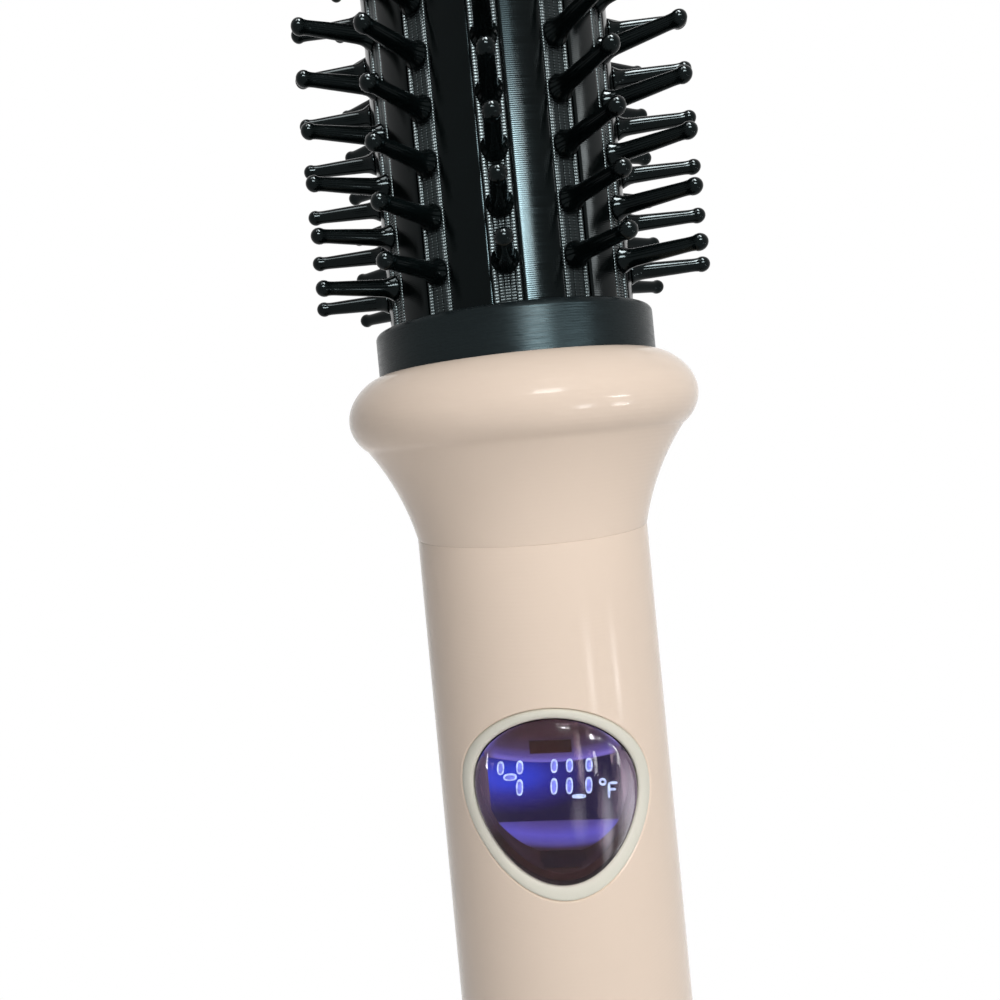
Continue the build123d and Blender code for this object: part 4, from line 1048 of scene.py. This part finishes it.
def lamp(name, azimuth, reach, height, wide, tall, radiance, colour=WHITE, glossy=True,
         diffuse=True, only=None):
    """An area light at a bearing from the front, a reach from the axis and a height."""
    a = radians(azimuth)
    place = np.array((sin(a) * reach, -cos(a) * reach, height))
    back = (place - AIM) / np.linalg.norm(place - AIM)
    right = np.array((cos(a), sin(a), 0.0))
    data = bpy.data.lights.new(name, "AREA")
    data.shape = "RECTANGLE"
    data.size, data.size_y = wide * MM, tall * MM
    data.energy = radiance * pi * wide * tall * MM * MM
    data.color = colour
    thing = stand(name, data, place, right, np.cross(back, right), back)
    thing.visible_camera = False
    thing.visible_glossy = glossy
    thing.visible_diffuse = diffuse
    thing.light_linking.receiver_collection = only
    return data


def receivers(name, *pieces):
    """A group of pieces that a lamp is held to."""
    group = bpy.data.collections.new(name)
    for piece in pieces:
        group.objects.link(bpy.data.objects[piece])
    return group


def shine(only, *lamps):
    """Lamps seen in gloss alone, by name, azimuth, reach, height, width, tallness, radiance."""
    return [lamp(*values, diffuse=False, only=only) for values in lamps]


def soften(data):
    """Fades a lamp out from its middle to its sides."""
    data.use_nodes = True
    tree = data.node_tree
    place = add(tree, "NewGeometry", {}, "Parametric")
    away = add(tree, "VectorMath", {0: place, 1: (0.5, 0.5, 0.0)}, "Value", operation="DISTANCE")
    wire(tree, tree.nodes["Emission"], {"Strength": scaled(tree, away, 0.5, 0.05, kind="SMOOTHSTEP")})


lamp("soft_key", 27, 710, 700, 460, 460, 8.9, WARM, glossy=False)
lamp("soft_front", 5, 710, 560, 300, 300, 3.9, WARM, glossy=False)
lamp("back_right", 165, 820, 500, 400, 600, 2.2, glossy=False)
lamp("back_left", -172, 820, 500, 400, 600, 2.0, glossy=False)

# The bead's streak and its three spots, and the two soft streaks on the handle.
shine(None,
      ("strip", 18.5, 670, 378, 200, 90, 55.0),
      ("streak_a", 43, 310, 20, 20, 34, 30.0),
      ("streak_b", 70, 310, 20, 18, 34, 30.0))
shine(receivers("neck_only", "flared_neck"),
      ("spot_high", 61, 310, 110, 62, 8, 230.0),
      ("spot_right", 64, 250, 42, 36, 6, 130.0),
      ("spot_low", 40, 250, 27, 34, 6, 150.0))

# The dark parts have shine of their own.
shine(receivers("barrel_only", "fluted_barrel"),
      ("barrel_low", 17, 670, 330, 190, 110, 90.0, COLD),
      ("barrel_middle", 16, 670, 440, 170, 110, 36.0, COLD),
      ("barrel_high", 16, 670, 570, 170, 150, 5.0, COLD),
      ("barrel_edge", 17, 670, 335, 46, 110, 150.0, COLD),
      ("barrel_side", 84, 400, 290, 60, 150, 14.0))
shine(receivers("collar_only", "dark_collar"),
      ("collar_glow", 20, 670, 253, 230, 160, 46.0, COLD),
      ("collar_side", 50, 670, 250, 260, 160, 14.0, COLD))
shine(receivers("teeth_only", "barrel_ribs", "strip_bars"),
      ("teeth_middle", -6, 670, 455, 330, 300, 32.0))
shine(receivers("ribs_only", "barrel_ribs"),
      ("ribs_left", -62, 670, 470, 260, 360, 16.0),
      ("ribs_right", 63, 670, 470, 260, 360, 13.0))
shine(receivers("pins_only", *[piece.name for piece in pin_rows]),
      ("pin_line_right", 25, 330, 810, 160, 370, 85.0),
      ("pin_line_left", -25, 330, 810, 160, 370, 20.0),
      ("pin_glint", 4, 670, 430, 230, 170, 75.0))

# The lens has small catch lights, and dim panels that veil its right side.
lens_only = receivers("lens_only", "domed_lens")
shine(lens_only,
      ("catch_a", 43.0, 310, 62, 20, 8, 260.0),
      ("catch_b", 52.0, 310, 60, 18, 7, 260.0),
      ("catch_c", 62.0, 310, 44, 14, 7, 220.0),
      ("catch_d", 67.6, 310, 37, 18, 7, 220.0),
      ("catch_top", 15.0, 310, 96, 70, 12, 220.0),
      ("catch_left", -72.6, 310, 21, 10, 34, 90.0))
for veil in shine(lens_only,
                  ("veil_side", 80, 120, 30, 100, 130, 14.0, (0.95, 0.93, 1.0)),
                  ("veil_right", 51, 120, 30, 40, 100, 13.0, (0.93, 0.92, 1.0)),
                  ("veil_middle", 21, 120, 40, 46, 44, 6.0, (0.95, 0.95, 1.0)),
                  ("veil_thin", 26.5, 120, 80, 16, 60, 17.0, (1.0, 0.85, 0.78))):
    soften(veil)


# Camera

ROLL = radians(5.444)
across = np.array((0.9924, 0.1234, 0.0))
ahead = np.array((-0.1234, 0.9924, 0.0))
upward = np.array((0.0, 0.0, 1.0))
view = bpy.data.cameras.new("camera")
view.sensor_width, view.lens = 36.0, 26.08
view.shift_x, view.shift_y = 0.0725, -0.0579
view.clip_start, view.clip_end = 0.002, 20.0
scene.camera = stand("camera", view, (-0.51, -98.08, 146.85),
                     cos(ROLL) * across - sin(ROLL) * upward,
                     sin(ROLL) * across + cos(ROLL) * upward, -ahead)
scene.view_settings.view_transform = "Standard"
